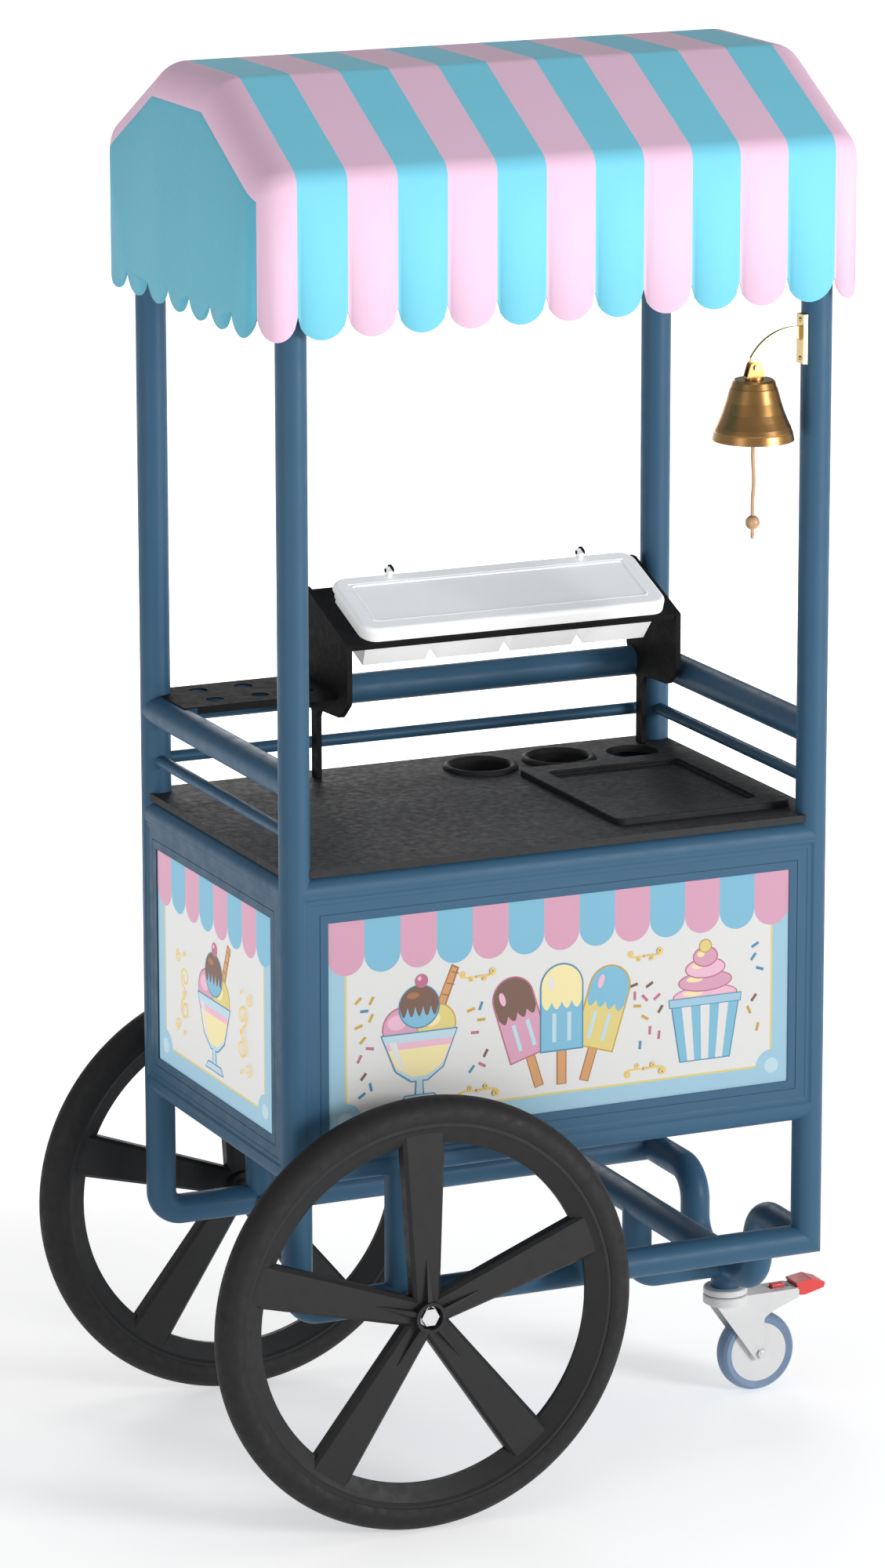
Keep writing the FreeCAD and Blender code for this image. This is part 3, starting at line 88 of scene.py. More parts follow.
class Mat:
    """A small helper round one Principled material and its node tree."""

    def __init__(self, name, colour, rough=0.5, metallic=0.0, **sockets):
        self.mat = bpy.data.materials.new(name)
        self.mat.use_nodes = True
        self.tree = self.mat.node_tree
        self.bsdf = self.tree.nodes["Principled BSDF"]
        self.colour = colour
        self.set("Base Color", colour)
        self.set("Roughness", rough)
        self.set("Metallic", metallic)
        for key, value in sockets.items():
            self.set(key.replace("_", " "), value)
        self.bump_in = None

    def set(self, socket, value):
        self.bsdf.inputs[socket].default_value = value

    def new(self, kind, **props):
        item = self.tree.nodes.new(kind)
        for key, value in props.items():
            setattr(item, key, value)
        return item

    def link(self, a, b):
        self.tree.links.new(a, b)

    def coords(self, scale=(1, 1, 1)):
        tex = self.new("ShaderNodeTexCoord")
        mapping = self.new("ShaderNodeMapping")
        mapping.inputs["Scale"].default_value = scale
        self.link(tex.outputs["Object"], mapping.inputs["Vector"])
        return mapping.outputs["Vector"]

    def noise(self, scale, detail=4.0, rough=0.55, stretch=(1, 1, 1)):
        tex = self.new("ShaderNodeTexNoise")
        tex.inputs["Scale"].default_value = scale
        tex.inputs["Detail"].default_value = detail
        tex.inputs["Roughness"].default_value = rough
        self.link(self.coords(stretch), tex.inputs["Vector"])
        return tex.outputs["Fac"]

    def ramp(self, fac, low, high, a, b):
        node = self.new("ShaderNodeMapRange")
        node.inputs["From Min"].default_value = low
        node.inputs["From Max"].default_value = high
        node.inputs["To Min"].default_value = a
        node.inputs["To Max"].default_value = b
        self.link(fac, node.inputs["Value"])
        return node.outputs["Result"]

    def mottle(self, fac, amount, tint=(0.82, 0.84, 0.88)):
        """Vary the base colour softly between itself and a darker tint of it."""
        mix = self.new("ShaderNodeMix", data_type="RGBA")
        mix.inputs["A"].default_value = self.colour
        mix.inputs["B"].default_value = tuple(c * t for c, t in zip(self.colour[:3], tint)) + (1.0,)
        self.link(self.ramp(fac, 0.35, 0.7, 0.0, amount), mix.inputs["Factor"])
        self.link(mix.outputs["Result"], self.bsdf.inputs["Base Color"])
        self.last_mix = mix
        return self

    def roughen(self, fac, a, b):
        self.link(self.ramp(fac, 0.3, 0.7, a, b), self.bsdf.inputs["Roughness"])
        return self

    def bump(self, height, strength, distance):
        node = self.new("ShaderNodeBump")
        node.inputs["Strength"].default_value = strength
        node.inputs["Distance"].default_value = distance
        self.link(height, node.inputs["Height"])
        if self.bump_in:
            self.link(self.bump_in, node.inputs["Normal"])
        self.bump_in = node.outputs["Normal"]
        self.link(self.bump_in, self.bsdf.inputs["Normal"])
        return self

    def wave(self, scale, direction, stretch=(1, 1, 1), distortion=0.0):
        tex = self.new("ShaderNodeTexWave", bands_direction=direction)
        tex.inputs["Scale"].default_value = scale
        tex.inputs["Distortion"].default_value = distortion
        self.link(self.coords(stretch), tex.inputs["Vector"])
        return tex.outputs["Fac"]


def paint(name, colour, rough=0.42):
    m = Mat(name, colour, rough)
    m.set("Specular IOR Level", 0.2)
    m.mottle(m.noise(7.0, 5.0), 0.35).roughen(m.noise(38.0), rough - 0.05, rough + 0.1)
    return m.bump(m.noise(900.0, 2.0), 0.10, 0.0004).mat


def printed(name, colour, glow):
    m = Mat(name, colour, 0.45)
    m.set("Specular IOR Level", 0.3)
    # Emission of the print's own colour at glow strength is painted light: where glow is above 0 the print shines
    # brighter than the lamps make it
    m.set("Emission Color", colour)
    m.set("Emission Strength", glow)
    m.mottle(m.noise(420.0, 2.0), 0.25, (0.93, 0.93, 0.94))
    return m.bump(m.noise(700.0, 2.0), 0.05, 0.0002).mat


MATS = {}
MATS["frame_paint"] = paint("frame_paint", srgb(51, 87, 113))
MATS["floor_sheet"] = paint("floor_sheet", srgb(51, 87, 113), 0.5)
m = Mat("dark_sheet", srgb(42, 42, 43), 0.66)
m.set("Specular IOR Level", 0.22)
m.mottle(m.noise(16.0, 6.0), 0.4).roughen(m.noise(90.0), 0.52, 0.7)
MATS["dark_sheet"] = m.bump(m.noise(620.0, 2.0), 0.4, 0.0007).mat
m = Mat("dark_plate", srgb(30, 30, 31), 0.72)
m.set("Specular IOR Level", 0.08)
m.mottle(m.noise(16.0, 6.0), 0.4).roughen(m.noise(90.0), 0.62, 0.78)
MATS["dark_plate"] = m.bump(m.noise(620.0, 2.0), 0.3, 0.0005).mat
m = Mat("white_plastic", srgb(246, 246, 245), 0.42)
# Emission 0.16 is painted light: it brightens the white plastic, above all the lid top in the canopy's shade
m.set("Emission Color", (1.0, 1.0, 1.0, 1.0))
m.set("Emission Strength", 0.16)
m.mottle(m.noise(12.0, 4.0), 0.3, (0.93, 0.93, 0.92)).roughen(m.noise(60.0), 0.3, 0.45)
MATS["white_plastic"] = m.bump(m.noise(520.0, 2.0), 0.35, 0.0006).mat
for key, rgb in (("brass", (182, 140, 88)), ("brass_pale", (206, 182, 132))):
    m = Mat(key, srgb(*rgb), 0.3, 1.0)
    m.mottle(m.noise(22.0, 4.0), 0.22, (0.84, 0.78, 0.7)).roughen(m.noise(60.0, 4.0), 0.28, 0.36)
    MATS[key] = m.bump(m.noise(260.0, 3.0), 0.015, 0.0002).mat
m = Mat("cord", srgb(205, 165, 130), 0.85)
m.mottle(m.noise(300.0), 0.5)
MATS["cord"] = m.bump(m.wave(330.0, "DIAGONAL", distortion=1.0), 0.5, 0.0006).mat
m = Mat("wood", srgb(200, 160, 124), 0.4, Coat_Weight=0.4, Coat_Roughness=0.15)
m.mottle(m.wave(60.0, "Z", (1, 1, 0.4), 6.0), 0.7, (0.7, 0.62, 0.5))
MATS["wood"] = m.bump(m.noise(220.0, 5.0, stretch=(1, 1, 0.2)), 0.1, 0.0003).mat
m = Mat("wheel_plastic", srgb(32, 32, 33), 0.52)
m.set("Specular IOR Level", 0.28)
m.mottle(m.noise(14.0, 5.0), 0.4).roughen(m.noise(60.0), 0.42, 0.6)
MATS["wheel_plastic"] = m.bump(m.noise(500.0, 3.0), 0.18, 0.0004).mat
m = Mat("tyre_rubber", srgb(29, 29, 30), 0.62)
m.set("Specular IOR Level", 0.28)
m.mottle(m.noise(18.0, 6.0), 0.5, (1.25, 1.22, 1.18)).roughen(m.noise(80.0), 0.55, 0.75)
MATS["tyre_rubber"] = m.bump(m.noise(450.0, 3.0), 0.2, 0.0005).mat
m = Mat("bright_steel", srgb(214, 214, 216), 0.18, 1.0)
m.roughen(m.noise(160.0, 5.0), 0.12, 0.3)
MATS["bright_steel"] = m.bump(m.noise(500.0, 4.0), 0.05, 0.0002).mat
m = Mat("grey_plastic", srgb(206, 206, 206), 0.5)
m.mottle(m.noise(30.0, 5.0), 0.3, (0.9, 0.9, 0.9)).roughen(m.noise(120.0), 0.42, 0.6)
MATS["grey_plastic"] = m.bump(m.noise(800.0, 3.0), 0.15, 0.0003).mat
m = Mat("grey_rubber", srgb(112, 134, 162), 0.6)
m.mottle(m.noise(40.0, 5.0), 0.4, (0.85, 0.86, 0.9)).roughen(m.noise(120.0), 0.5, 0.7)
MATS["grey_rubber"] = m.bump(m.noise(700.0, 3.0), 0.12, 0.0003).mat
m = Mat("red_plastic", srgb(214, 58, 56), 0.38, Coat_Weight=0.1)
m.mottle(m.noise(60.0, 4.0), 0.3).roughen(m.noise(150.0), 0.3, 0.48)
MATS["red_plastic"] = m.bump(m.noise(900.0, 2.0), 0.08, 0.0003).mat
BLUE_CLOTH, PINK_CLOTH, GABLE_CLOTH = srgb(110, 198, 222), srgb(226, 188, 212), srgb(84, 168, 190)
PRINTS = dict(white=(196, 196, 195), pink=(188, 140, 161), blue=(109, 162, 186), sky=(138, 174, 191),
              yellow=(196, 180, 112), brown=(104, 78, 66), biscuit=(184, 136, 90), cream=(212, 200, 150),
              rose=(206, 162, 180), pale=(166, 190, 200), toast=(146, 100, 62), deep=(70, 122, 150),
              berry=(164, 96, 120), gold=(176, 142, 60), line=(208, 178, 92))
# The end boards' prints glow at strength 0.5, painted light that brightens the shaded end panels; the front and rear
# prints do not glow
for key, rgb in PRINTS.items():
    MATS["print_" + key] = printed("print_" + key, srgb(*rgb), 0.0)
    MATS["side_" + key] = printed("side_" + key, srgb(*rgb), 0.5)

SLOT_OF = {s["node"]: s["material_slot"] for s in frame["record"]["subparts"]}
for name, obj in NODES.items():
    key = SLOT_OF[name]
    key = "print_blue" if key == "canopy_cloth" else key
    key = "brass_pale" if name == "bell_bracket" else key
    key = "dark_plate" if name.startswith("rack_") or name == "cone_holder" else key
    obj.data.materials.clear()
    obj.data.materials.append(MATS[key])


def mesh_object(name, bm, mats, smooth=True):
    mesh = bpy.data.meshes.new(name)
    bm.to_mesh(mesh)
    bm.free()
    for key in mats:
        mesh.materials.append(MATS[key])
    for poly in mesh.polygons:
        poly.use_smooth = smooth
    obj = bpy.data.objects.new(name, mesh)
    scene.collection.objects.link(obj)
    return obj


# ---- canopy --------------------------------------------------------------------------
CX, CY = 474 * MM, 303 * MM
VALANCE, SHOULDER, ROOF, FLAT = 1745 * MM, 1976 * MM, 2089 * MM, 98.5 * MM
STRIPE, SIDE = 75.95 * MM, 78.4 * MM
ROUND_LONG, ROUND_END = 30 * MM, 56 * MM
STRIPES, SIDE_SCALLOPS = 11, 7
FIELD_Y, FIELD_PEAK = SIDE * SIDE_SCALLOPS / 2, 91.7 * MM
FIELD_EAVE, FIELD_TOP = 1940 * MM, 2041.5 * MM


def striped_cloth():
    """Blue and pink stripes across, pink ends, and a blue field on each gable."""
    m = Mat("cloth_striped", BLUE_CLOTH, 0.75, Sheen_Weight=0.12, Sheen_Roughness=0.5)
    place = m.new("ShaderNodeSeparateXYZ")
    m.link(m.new("ShaderNodeTexCoord").outputs["Object"], place.inputs["Vector"])
    x, y, z = (place.outputs[k] for k in "XYZ")

    def calc(op, a, b=None):
        node = m.new("ShaderNodeMath", operation=op)
        for socket, value in zip(node.inputs, (a, b)):
            if isinstance(value, float):
                socket.default_value = value
            elif value is not None:
                m.link(value, socket)
        return node.outputs["Value"]

    across = calc("ADD", calc("DIVIDE", x, STRIPE), STRIPES / 2 + 20.0)
    odd = calc("MODULO", calc("FLOOR", across), 2.0)
    end = calc("GREATER_THAN", calc("ABSOLUTE", x), STRIPES / 2 * STRIPE)
    fall = (FIELD_TOP - FIELD_EAVE) / (FIELD_Y - FIELD_PEAK)
    side = calc("ABSOLUTE", y)
    below = calc("LESS_THAN", calc("ADD", z, calc("MULTIPLY", side, fall)), FIELD_EAVE + FIELD_Y * fall)
    field = calc("MULTIPLY", calc("MULTIPLY", below, calc("LESS_THAN", z, FIELD_TOP)),
                 calc("LESS_THAN", side, FIELD_Y))
    pink = calc("MAXIMUM", calc("MULTIPLY", odd, calc("SUBTRACT", 1.0, end)),
                calc("MULTIPLY", end, calc("SUBTRACT", 1.0, field)))
    stripes = m.new("ShaderNodeMix", data_type="RGBA")
    stripes.inputs["A"].default_value = BLUE_CLOTH
    stripes.inputs["B"].default_value = PINK_CLOTH
    m.link(pink, stripes.inputs["Factor"])
    gable = m.new("ShaderNodeMix", data_type="RGBA")
    gable.inputs["B"].default_value = GABLE_CLOTH
    m.link(calc("MULTIPLY", end, field), gable.inputs["Factor"])
    m.link(stripes.outputs["Result"], gable.inputs["A"])
    m.mottle(m.noise(9.0, 5.0), 0.25, (0.93, 0.93, 0.94))
    m.last_mix.inputs["B"].default_value = (0.93, 0.93, 0.94, 1.0)
    m.last_mix.inputs["A"].default_value = (1.0, 1.0, 1.0, 1.0)
    both = m.new("ShaderNodeMix", data_type="RGBA", blend_type="MULTIPLY")
    both.inputs["Factor"].default_value = 1.0
    m.link(gable.outputs["Result"], both.inputs["A"])
    m.link(m.last_mix.outputs["Result"], both.inputs["B"])
    m.link(both.outputs["Result"], m.bsdf.inputs["Base Color"])
    m.roughen(m.noise(120.0), 0.68, 0.82)
    m.bump(m.wave(520.0, "X"), 0.08, 0.0002)
    m.bump(m.wave(520.0, "Z"), 0.08, 0.0002)
    return m.bump(m.noise(24.0, 3.0), 0.06, 0.002).mat


MATS["cloth_striped"] = striped_cloth()


def rounded(points, radius, steps):
    """Round the inner corners of an open polyline; returns the points along it."""
    out = [points[0]]
    for a, b, c in zip(points, points[1:], points[2:]):
        u, v = (b - a).normalized(), (c - b).normalized()
        turn = u.angle(v)
        back = radius * math.tan(turn / 2)
        p, q = b - u * back, b + v * back
        centre = b + (v - u).normalized() * (radius / math.cos(turn / 2))
        for k in range(steps + 1):
            out.append(centre + (p - centre).lerp(q - centre, k / steps).normalized() * radius)
    return out + [points[-1]]


def half_round(s, depth):
    """Rise of a half-round scallop's edge; s runs from 0 to 1 across it."""
    d = abs((s % 1.0) - 0.5) * 2.0
    return depth * (1 - math.sqrt(max(0.0, 1 - d * d)))


END_START = math.asin((STRIPES / 2 * STRIPE - CX + ROUND_END) / ROUND_END)
END_STOP = math.acos(max(-1.0, (FIELD_Y - CY + ROUND_END) / ROUND_END))


def hem_lift(x, y):
    """How far above its lowest line the hem lies at a place on the canopy's outline."""
    if abs(x) <= STRIPES / 2 * STRIPE:
        return half_round(x / STRIPE + STRIPES / 2, STRIPE / 2)
    if abs(y) <= FIELD_Y:
        return half_round(y / SIDE + SIDE_SCALLOPS / 2, SIDE / 2)
    turn = math.asin(min(1.0, (abs(x) - CX + ROUND_END) / ROUND_END))
    return half_round((turn - END_START) / (END_STOP - END_START), STRIPE / 2)


def canopy_profile(inset):
    """Half-hexagon section of the canopy, moved inwards by an even distance."""
    low, eave, peak = CY - inset, SHOULDER - 0.5901 * inset, FLAT - 0.2582 * inset
    pts = [Vector((-low, VALANCE)), Vector((-low, eave)), Vector((-peak, ROOF - inset)),
           Vector((peak, ROOF - inset)), Vector((low, eave)), Vector((low, VALANCE))]
    return rounded(pts, ROUND_LONG, 7)


def canopy_sheet():
    bm = bmesh.new()
    flat_x, steps = CX - ROUND_END, 22
    stations = [(-CX + ROUND_END - ROUND_END * math.sin(math.pi / 2 * k / steps), k) for k in range(steps, 0, -1)]
    cuts = {round((i + k / 14.0) * STRIPE - STRIPES / 2 * STRIPE, 6) for i in range(STRIPES) for k in range(14)}
    stations += [(c, 0) for c in sorted(cuts | {-flat_x, flat_x})]
    stations += [(flat_x + ROUND_END * math.sin(math.pi / 2 * k / steps), k) for k in range(1, steps + 1)]
    rows = []
    for x, k in stations:
        section = canopy_profile(ROUND_END * (1 - math.cos(math.pi / 2 * k / steps)))
        hem = hem_lift(x, section[0].x)
        rows.append([bm.verts.new((x, p.x, p.y + (hem if j in (0, len(section) - 1) else 0.0)))
                     for j, p in enumerate(section)])
    for a, b in zip(rows, rows[1:]):
        for j in range(len(a) - 1):
            bm.faces.new((a[j], a[j + 1], b[j + 1], b[j]))
    for row in (rows[0], rows[-1]):
        x = row[0].co.x
        ring = [Vector((v.co.y, v.co.z)) for v in row]
        y0, y1, count = ring[0].x, ring[-1].x, 98
        hem = [y1 + (y0 - y1) * k / count for k in range(1, count)]
        outline = ring + [Vector((y, VALANCE + hem_lift(x, y))) for y in hem]
        edges = [(i, (i + 1) % len(outline)) for i in range(len(outline))]
        coords, _, faces, *_ = delaunay_2d_cdt(outline, edges, [], 1, 1e-6)
        verts = [bm.verts.new((x, c.x, c.y)) for c in coords]
        for face in faces:
            bm.faces.new([verts[i] for i in face])
    bmesh.ops.remove_doubles(bm, verts=bm.verts[:], dist=2e-5)
    bmesh.ops.recalc_face_normals(bm, faces=bm.faces[:])
    cloth_area = sum(f.calc_area() for f in bm.faces)
    obj = mesh_object("canopy_cloth", bm, ["cloth_striped"])
    solid = obj.modifiers.new("thick", "SOLIDIFY")
    solid.thickness = 2.5 * MM
    solid.offset = -1.0
    return obj, cloth_area


canopy, canopy_area = canopy_sheet()
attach(canopy, "cart")
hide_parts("canopy")

# ---- bell rope -----------------------------------------------------------------------
ROPE = [(311.0, -261.75, 1538.75), (310.0, -261.75, 1521.0), (311.6, -261.75, 1500.0), (312.9, -261.75, 1478.0),
        (310.3, -261.75, 1455.0), (311.0, -261.75, 1431.0)]
curve = bpy.data.curves.new("bell_cord", "CURVE")
curve.dimensions = "3D"
curve.bevel_depth = 2.8 * MM
curve.bevel_resolution = 4
spline = curve.splines.new("NURBS")
spline.points.add(len(ROPE) - 1)
for point, co in zip(spline.points, ROPE):
    point.co = tuple(c * MM for c in co) + (1.0,)
spline.order_u = 3
spline.use_endpoint_u = True
spline.resolution_u = 12
rope = bpy.data.objects.new("bell_cord", curve)
scene.collection.objects.link(rope)
curve.materials.append(MATS["cord"])
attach(rope, "clapper")
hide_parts("bell_rope")


# ---- printed boards ------------------------------------------------------------------
# board drawings are in millimetres; their faces lie sunk behind the panels' outer faces
BOARD_LOW, BOARD_HIGH, BOARD_MIDDLE = 579.5, 901.5, 705
LONG_FACE, SHORT_FACE, BOARD_SINK = 284.25 * MM, 433.9 * MM, 4.9 * MM
PRINT_STEP = 0.00002
SUNDAE_U, TUB_U, SPRINKLES = -226, 232, 46


class Board:
    """Flat printed shapes on one sunk board; u runs across, v up, both from the board's middle."""

    def __init__(self, name, half_u, low, high, inks):
        self.bm, self.name, self.inks = bmesh.new(), name, inks
        self.hu, self.low, self.high = half_u, low, high
        self.keys = []
        self.layer = self.base = 0

    def add(self, pts, key, layer=None):
        if key not in self.keys:
            self.keys.append(key)
        layer = self.layer if layer is None else layer
        verts = [self.bm.verts.new((p[0] * MM, -layer * PRINT_STEP, p[1] * MM)) for p in pts]
        face = self.bm.faces.new(verts)
        face.material_index = self.keys.index(key)
        face.normal_update()
        if face.normal.y > 0:
            face.normal_flip()
        self.layer += 0 if layer != self.layer else 1

    def disc(self, u, v, r, key, a0=0, a1=360, sx=1.0, n=40):
        full = abs(a1 - a0) >= 360
        pts = [] if full else [(u, v)]
        for i in range(n + (0 if full else 1)):
            a = math.radians(a0 + (a1 - a0) * i / n)
            pts.append((u + r * sx * math.cos(a), v + r * math.sin(a)))
        self.add(pts, key)

    def band(self, pts, width, key):
        """A ribbon of even width along a run of points."""
        left, rite = [], []
        for i, p in enumerate(pts):
            a, b = pts[max(0, i - 1)], pts[min(len(pts) - 1, i + 1)]
            d = Vector((b[0] - a[0], b[1] - a[1])).normalized() * (width / 2)
            left.append((p[0] - d.y, p[1] + d.x))
            rite.append((p[0] + d.y, p[1] - d.x))
        for i in range(len(pts) - 1):
            layer = self.layer
            self.add([left[i], left[i + 1], rite[i + 1], rite[i]], key, layer)
        self.layer += 1

    def rect(self, u0, v0, u1, v1, key):
        self.add([(u0, v0), (u1, v0), (u1, v1), (u0, v1)], key)

    def finish(self, turn, distance):
        obj = mesh_object(self.name, self.bm, [self.inks + k for k in self.keys], smooth=False)
        obj.data.transform(Matrix.Rotation(math.radians(turn), 4, "Z") @ Matrix.Translation((0, -distance, 0)))
        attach(obj, "cart")
        return obj


def spiral(u, v, r0, turns, start, hand, n=26):
    pts = []
    for i in range(n + 1):
        t = i / n
        a = start + hand * turns * 2 * math.pi * t
        r = r0 * (1 - 0.72 * t)
        pts.append((u + r * math.cos(a), v + r * math.sin(a)))
    return pts


def turned_by(u, v, tilt, s=1.0):
    """Function that carries a motif's own points to its place on the board."""
    ca, sa = s * math.cos(math.radians(tilt)), s * math.sin(math.radians(tilt))
    return lambda pts: [(u + p[0] * ca - p[1] * sa, v + p[0] * sa + p[1] * ca) for p in pts]


def ring(x, y, rx, ry=None, a0=0, a1=360, n=36):
    step = (a1 - a0) / n
    return [(x + rx * math.cos(math.radians(a0 + step * i)), y + (ry or rx) * math.sin(math.radians(a0 + step * i)))
            for i in range(n if a1 - a0 >= 360 else n + 1)]


def capsule(w, low, high):
    return [(-w, low), (w, low)] + ring(0, high - w, w, None, 0, 180, 16)


def drip(w, level, top, depth, count):
    """Sauce edge: a wavy lower line under a round top."""
    low = [(-w + 2 * w * i / 40, level - depth * abs(math.sin(math.pi * count * i / 40))) for i in range(41)]
    return low + top


def lolly(board, u, v, tilt, key, tip, s=1.0):
    """An ice lolly: a round-ended bar with two grooves, a dipped tip, a shine and a stick."""
    put = turned_by(u, v, tilt, s)
    board.add(put(capsule(6.6, -78, -20)), "toast")
    board.add(put(capsule(5.2, -77, -20)), "biscuit")
    board.add(put(capsule(29, -36, 74)), {"blue": "deep", "pink": "berry", "yellow": "gold"}[key])
    board.add(put(capsule(27, -34, 72)), key)
    board.add(put(drip(26.8, 26, ring(0, 45, 27, None, 0, 180, 16), 9, 4)), tip)
    for x in (-10, 10):
        board.add(put([(x - 2.6, -24), (x + 2.6, -24), (x + 2.6, 12), (x - 2.6, 12)]), "pale")
    board.add(put(ring(-14, 50, 4, 9)), "rose" if tip != "cream" else "white")


def scoop(board, put, x, y, r, key, light, dark):
    board.add(put(ring(x, y, r + 1.8)), dark)
    board.add(put(ring(x, y, r)), key)
    board.add(put(ring(x - r * 0.28, y + r * 0.3, r * 0.5, r * 0.38)), light)


def sundae(board, u, v, s=1.0):
    """Three scoops in a footed glass, with sauce, a wafer and a cherry."""
    put = turned_by(u, v, 0, s)
    board.layer = board.base
    board.add(put([(18, 40), (30, 36), (52, 92), (42, 97)]), "toast")
    board.add(put([(20, 42), (29, 39), (49, 91), (43, 94)]), "biscuit")
    for k in range(4):
        x, y = 27 + 6.0 * k, 48 + 13 * k
        board.add(put([(x - 4, y), (x + 6, y - 3), (x + 6.6, y - 1.4), (x - 3.4, y + 1.6)]), "toast")
    scoop(board, put, -22, 26, 24, "pink", "rose", "berry")
    scoop(board, put, 22, 26, 24, "yellow", "cream", "gold")
    scoop(board, put, 0, 50, 25, "blue", "pale", "deep")
    board.add(put(drip(25, 50, ring(0, 50, 25.4, None, 0, 180, 20), 12, 5)), "brown")
    board.add(put(ring(-8, 64, 8, 4)), "toast")
    board.add(put(ring(3, 81, 8.5)), "berry")
    board.add(put(ring(0.5, 84, 2.6)), "rose")
    board.add(put([(-50, 19.6), (50, 19.6), (31.6, -27), (11, -41.6), (-11, -41.6), (-31.6, -27)]), "deep")
    board.add(put([(-48, 18), (48, 18), (30, -26), (10, -40), (-10, -40), (-30, -26)]), "pale")
    board.add(put([(-44, 8), (44, 8), (31, -22), (10, -35), (-10, -35), (-31, -22)]), "rose")
    board.add(put([(-40, 0), (40, 0), (30, -22), (10, -35), (-10, -35), (-30, -22)]), "cream")
    board.add(put([(-40, 10), (-30, 10), (-19, -26), (-24, -24)]), "white")
    board.add(put([(-5, -40), (5, -40), (6, -58), (-6, -58)]), "deep")
    board.add(put([(-3.6, -40), (3.6, -40), (4.4, -58), (-4.4, -58)]), "pale")
    board.add(put([(-28, -67), (28, -67), (19, -57), (-19, -57)]), "deep")
    board.add(put([(-26, -65.6), (26, -65.6), (18, -58.4), (-18, -58.4)]), "pale")


def tub_motif(board, u, v, s=1.0):
    """A striped paper tub with a piped swirl."""
    put = turned_by(u, v, 0, s)
    board.layer = board.base
    for w, y, key in ((41, 20, "rose"), (34, 37, "pink"), (25, 53, "rose"), (15, 67, "pink")):
        board.add(put(ring(0, y, w + 1.6, 12.6)), "berry")
        board.add(put(ring(0, y, w, 11)), key)
        board.add(put(ring(-w * 0.4, y + 3.5, w * 0.32, 3.4)), "cream")
    board.add(put(ring(0, 80, 8.4)), "gold")
    board.add(put(ring(0, 80, 7)), "yellow")
    board.add(put([(-45.6, 15), (45.6, 15), (33.2, -59.4), (-33.2, -59.4)]), "deep")
    board.add(put([(-44, 14), (44, 14), (32, -58), (-32, -58)]), "blue")
    for k in range(3):
        a = -44 + 88 * (2 * k + 1) / 7
        b = a + 88 / 7
        board.add(put([(a, 14), (b, 14), (b * 32 / 44, -58), (a * 32 / 44, -58)]), "white")
    board.add(put([(-48, 19), (48, 19), (47, 8), (-47, 8)]), "deep")
    board.add(put([(-47, 18), (47, 18), (46, 9), (-46, 9)]), "sky")


def flourish(board, u, v, s, flip):
    """A pair of scrolls that curl away from a dot."""
    board.layer = board.base
    for side in (-1, 1):
        stem = [(u + side * 6 * s, v), (u + side * 34 * s, v), (u + side * 46 * s, v + flip * 2 * s)]
        board.band(stem, 2.8, "line")
        start = -flip * math.pi / 2
        board.band(spiral(u + side * 46 * s, v + flip * 11 * s, 9 * s, 1.35, start, side * flip), 2.8, "line")
        board.band(spiral(u + side * 20 * s, v - flip * 8 * s, 6 * s, 1.1, -start, -side * flip), 2.2, "line")
    board.add(ring(u, v, 4 * s), "line")


def base_board(name, half_u, low, high, scallops, start, inks):
    """Ground, border, pinstripe, awning scallops and lobed lower corners."""
    b = Board(name, half_u, low, high, inks)
    b.rect(-half_u, low, half_u, high, "sky")
    edge, drop = 26.0, 26.0
    b.rect(-half_u + edge, low + drop, half_u - edge, high, "yellow")
    b.rect(-half_u + edge + 3.2, low + drop + 3.2, half_u - edge - 3.2, high, "white")
    for s in (-1, 1):
        cu, cv = s * (half_u - edge), low + drop
        b.disc(cu, cv, 26, "sky")
        b.disc(cu, cv + 1, 11.5, "pale")
    w = 2 * half_u / scallops
    layer = b.layer
    for i in range(scallops):
        u = -half_u + w * (i + 0.5)
        key = "pink" if (i + start) % 2 == 0 else "blue"
        r = w / 2
        pts = [(u - r, high), (u - r, high - 52)]
        for k in range(1, 18):
            a = math.pi + math.pi * k / 18
            pts.append((u + r * math.cos(a), high - 52 + r * math.sin(a)))
        pts += [(u + r, high - 52), (u + r, high)]
        b.add(pts, key, layer)
    b.layer = b.base = layer + 1
    return b


def on_motif(u, v):
    """Whether a place on a long board, measured from the motifs' middle line, is taken already."""
    beside_lollies = abs(abs(u) - 138) < 50 and abs(v - 4) > 52
    return min(abs(u - TUB_U), abs(u - SUNDAE_U)) < 72 or abs(u) < 112 or beside_lollies


def long_board(name, turn):
    b = base_board(name, 368, BOARD_LOW, BOARD_HIGH, 13, 0, "print_")
    mid = BOARD_MIDDLE
    sundae(b, SUNDAE_U, mid - 3, 1.22)
    tub_motif(b, TUB_U, mid - 3, 1.24)
    b.layer = b.base
    lolly(b, -62, mid + 2, 17, "pink", "brown", 1.16)
    lolly(b, 62, mid + 2, -17, "yellow", "blue", 1.16)
    lolly(b, 0, mid + 8, 0, "blue", "cream", 1.2)
    for u in (-134, 134):
        flourish(b, u, mid + 92, 0.5, 1)
        flourish(b, u, mid - 78, 0.6, -1)
    rnd = random.Random(5)
    placed = []
    while len(placed) < SPRINKLES:
        u, v = rnd.uniform(-322, 322), rnd.uniform(mid - 72, mid + 92)
        if on_motif(u, v - BOARD_MIDDLE) or any(math.hypot(u - q[0], v - q[1]) < 15 for q in placed):
            placed += [] if rnd.random() > 0.02 else [(9e3, 9e3)]
            continue
        placed.append((u, v))
        a = rnd.uniform(0, math.pi)
        put = turned_by(u, v, math.degrees(a))
        grain = put([(-6.5, -2.2), (6.5, -2.2), (6.5, 2.2), (-6.5, 2.2)])
        b.add(grain, rnd.choice(["berry", "deep", "gold", "brown"]), b.base)
    return b.finish(turn, LONG_FACE - BOARD_SINK)


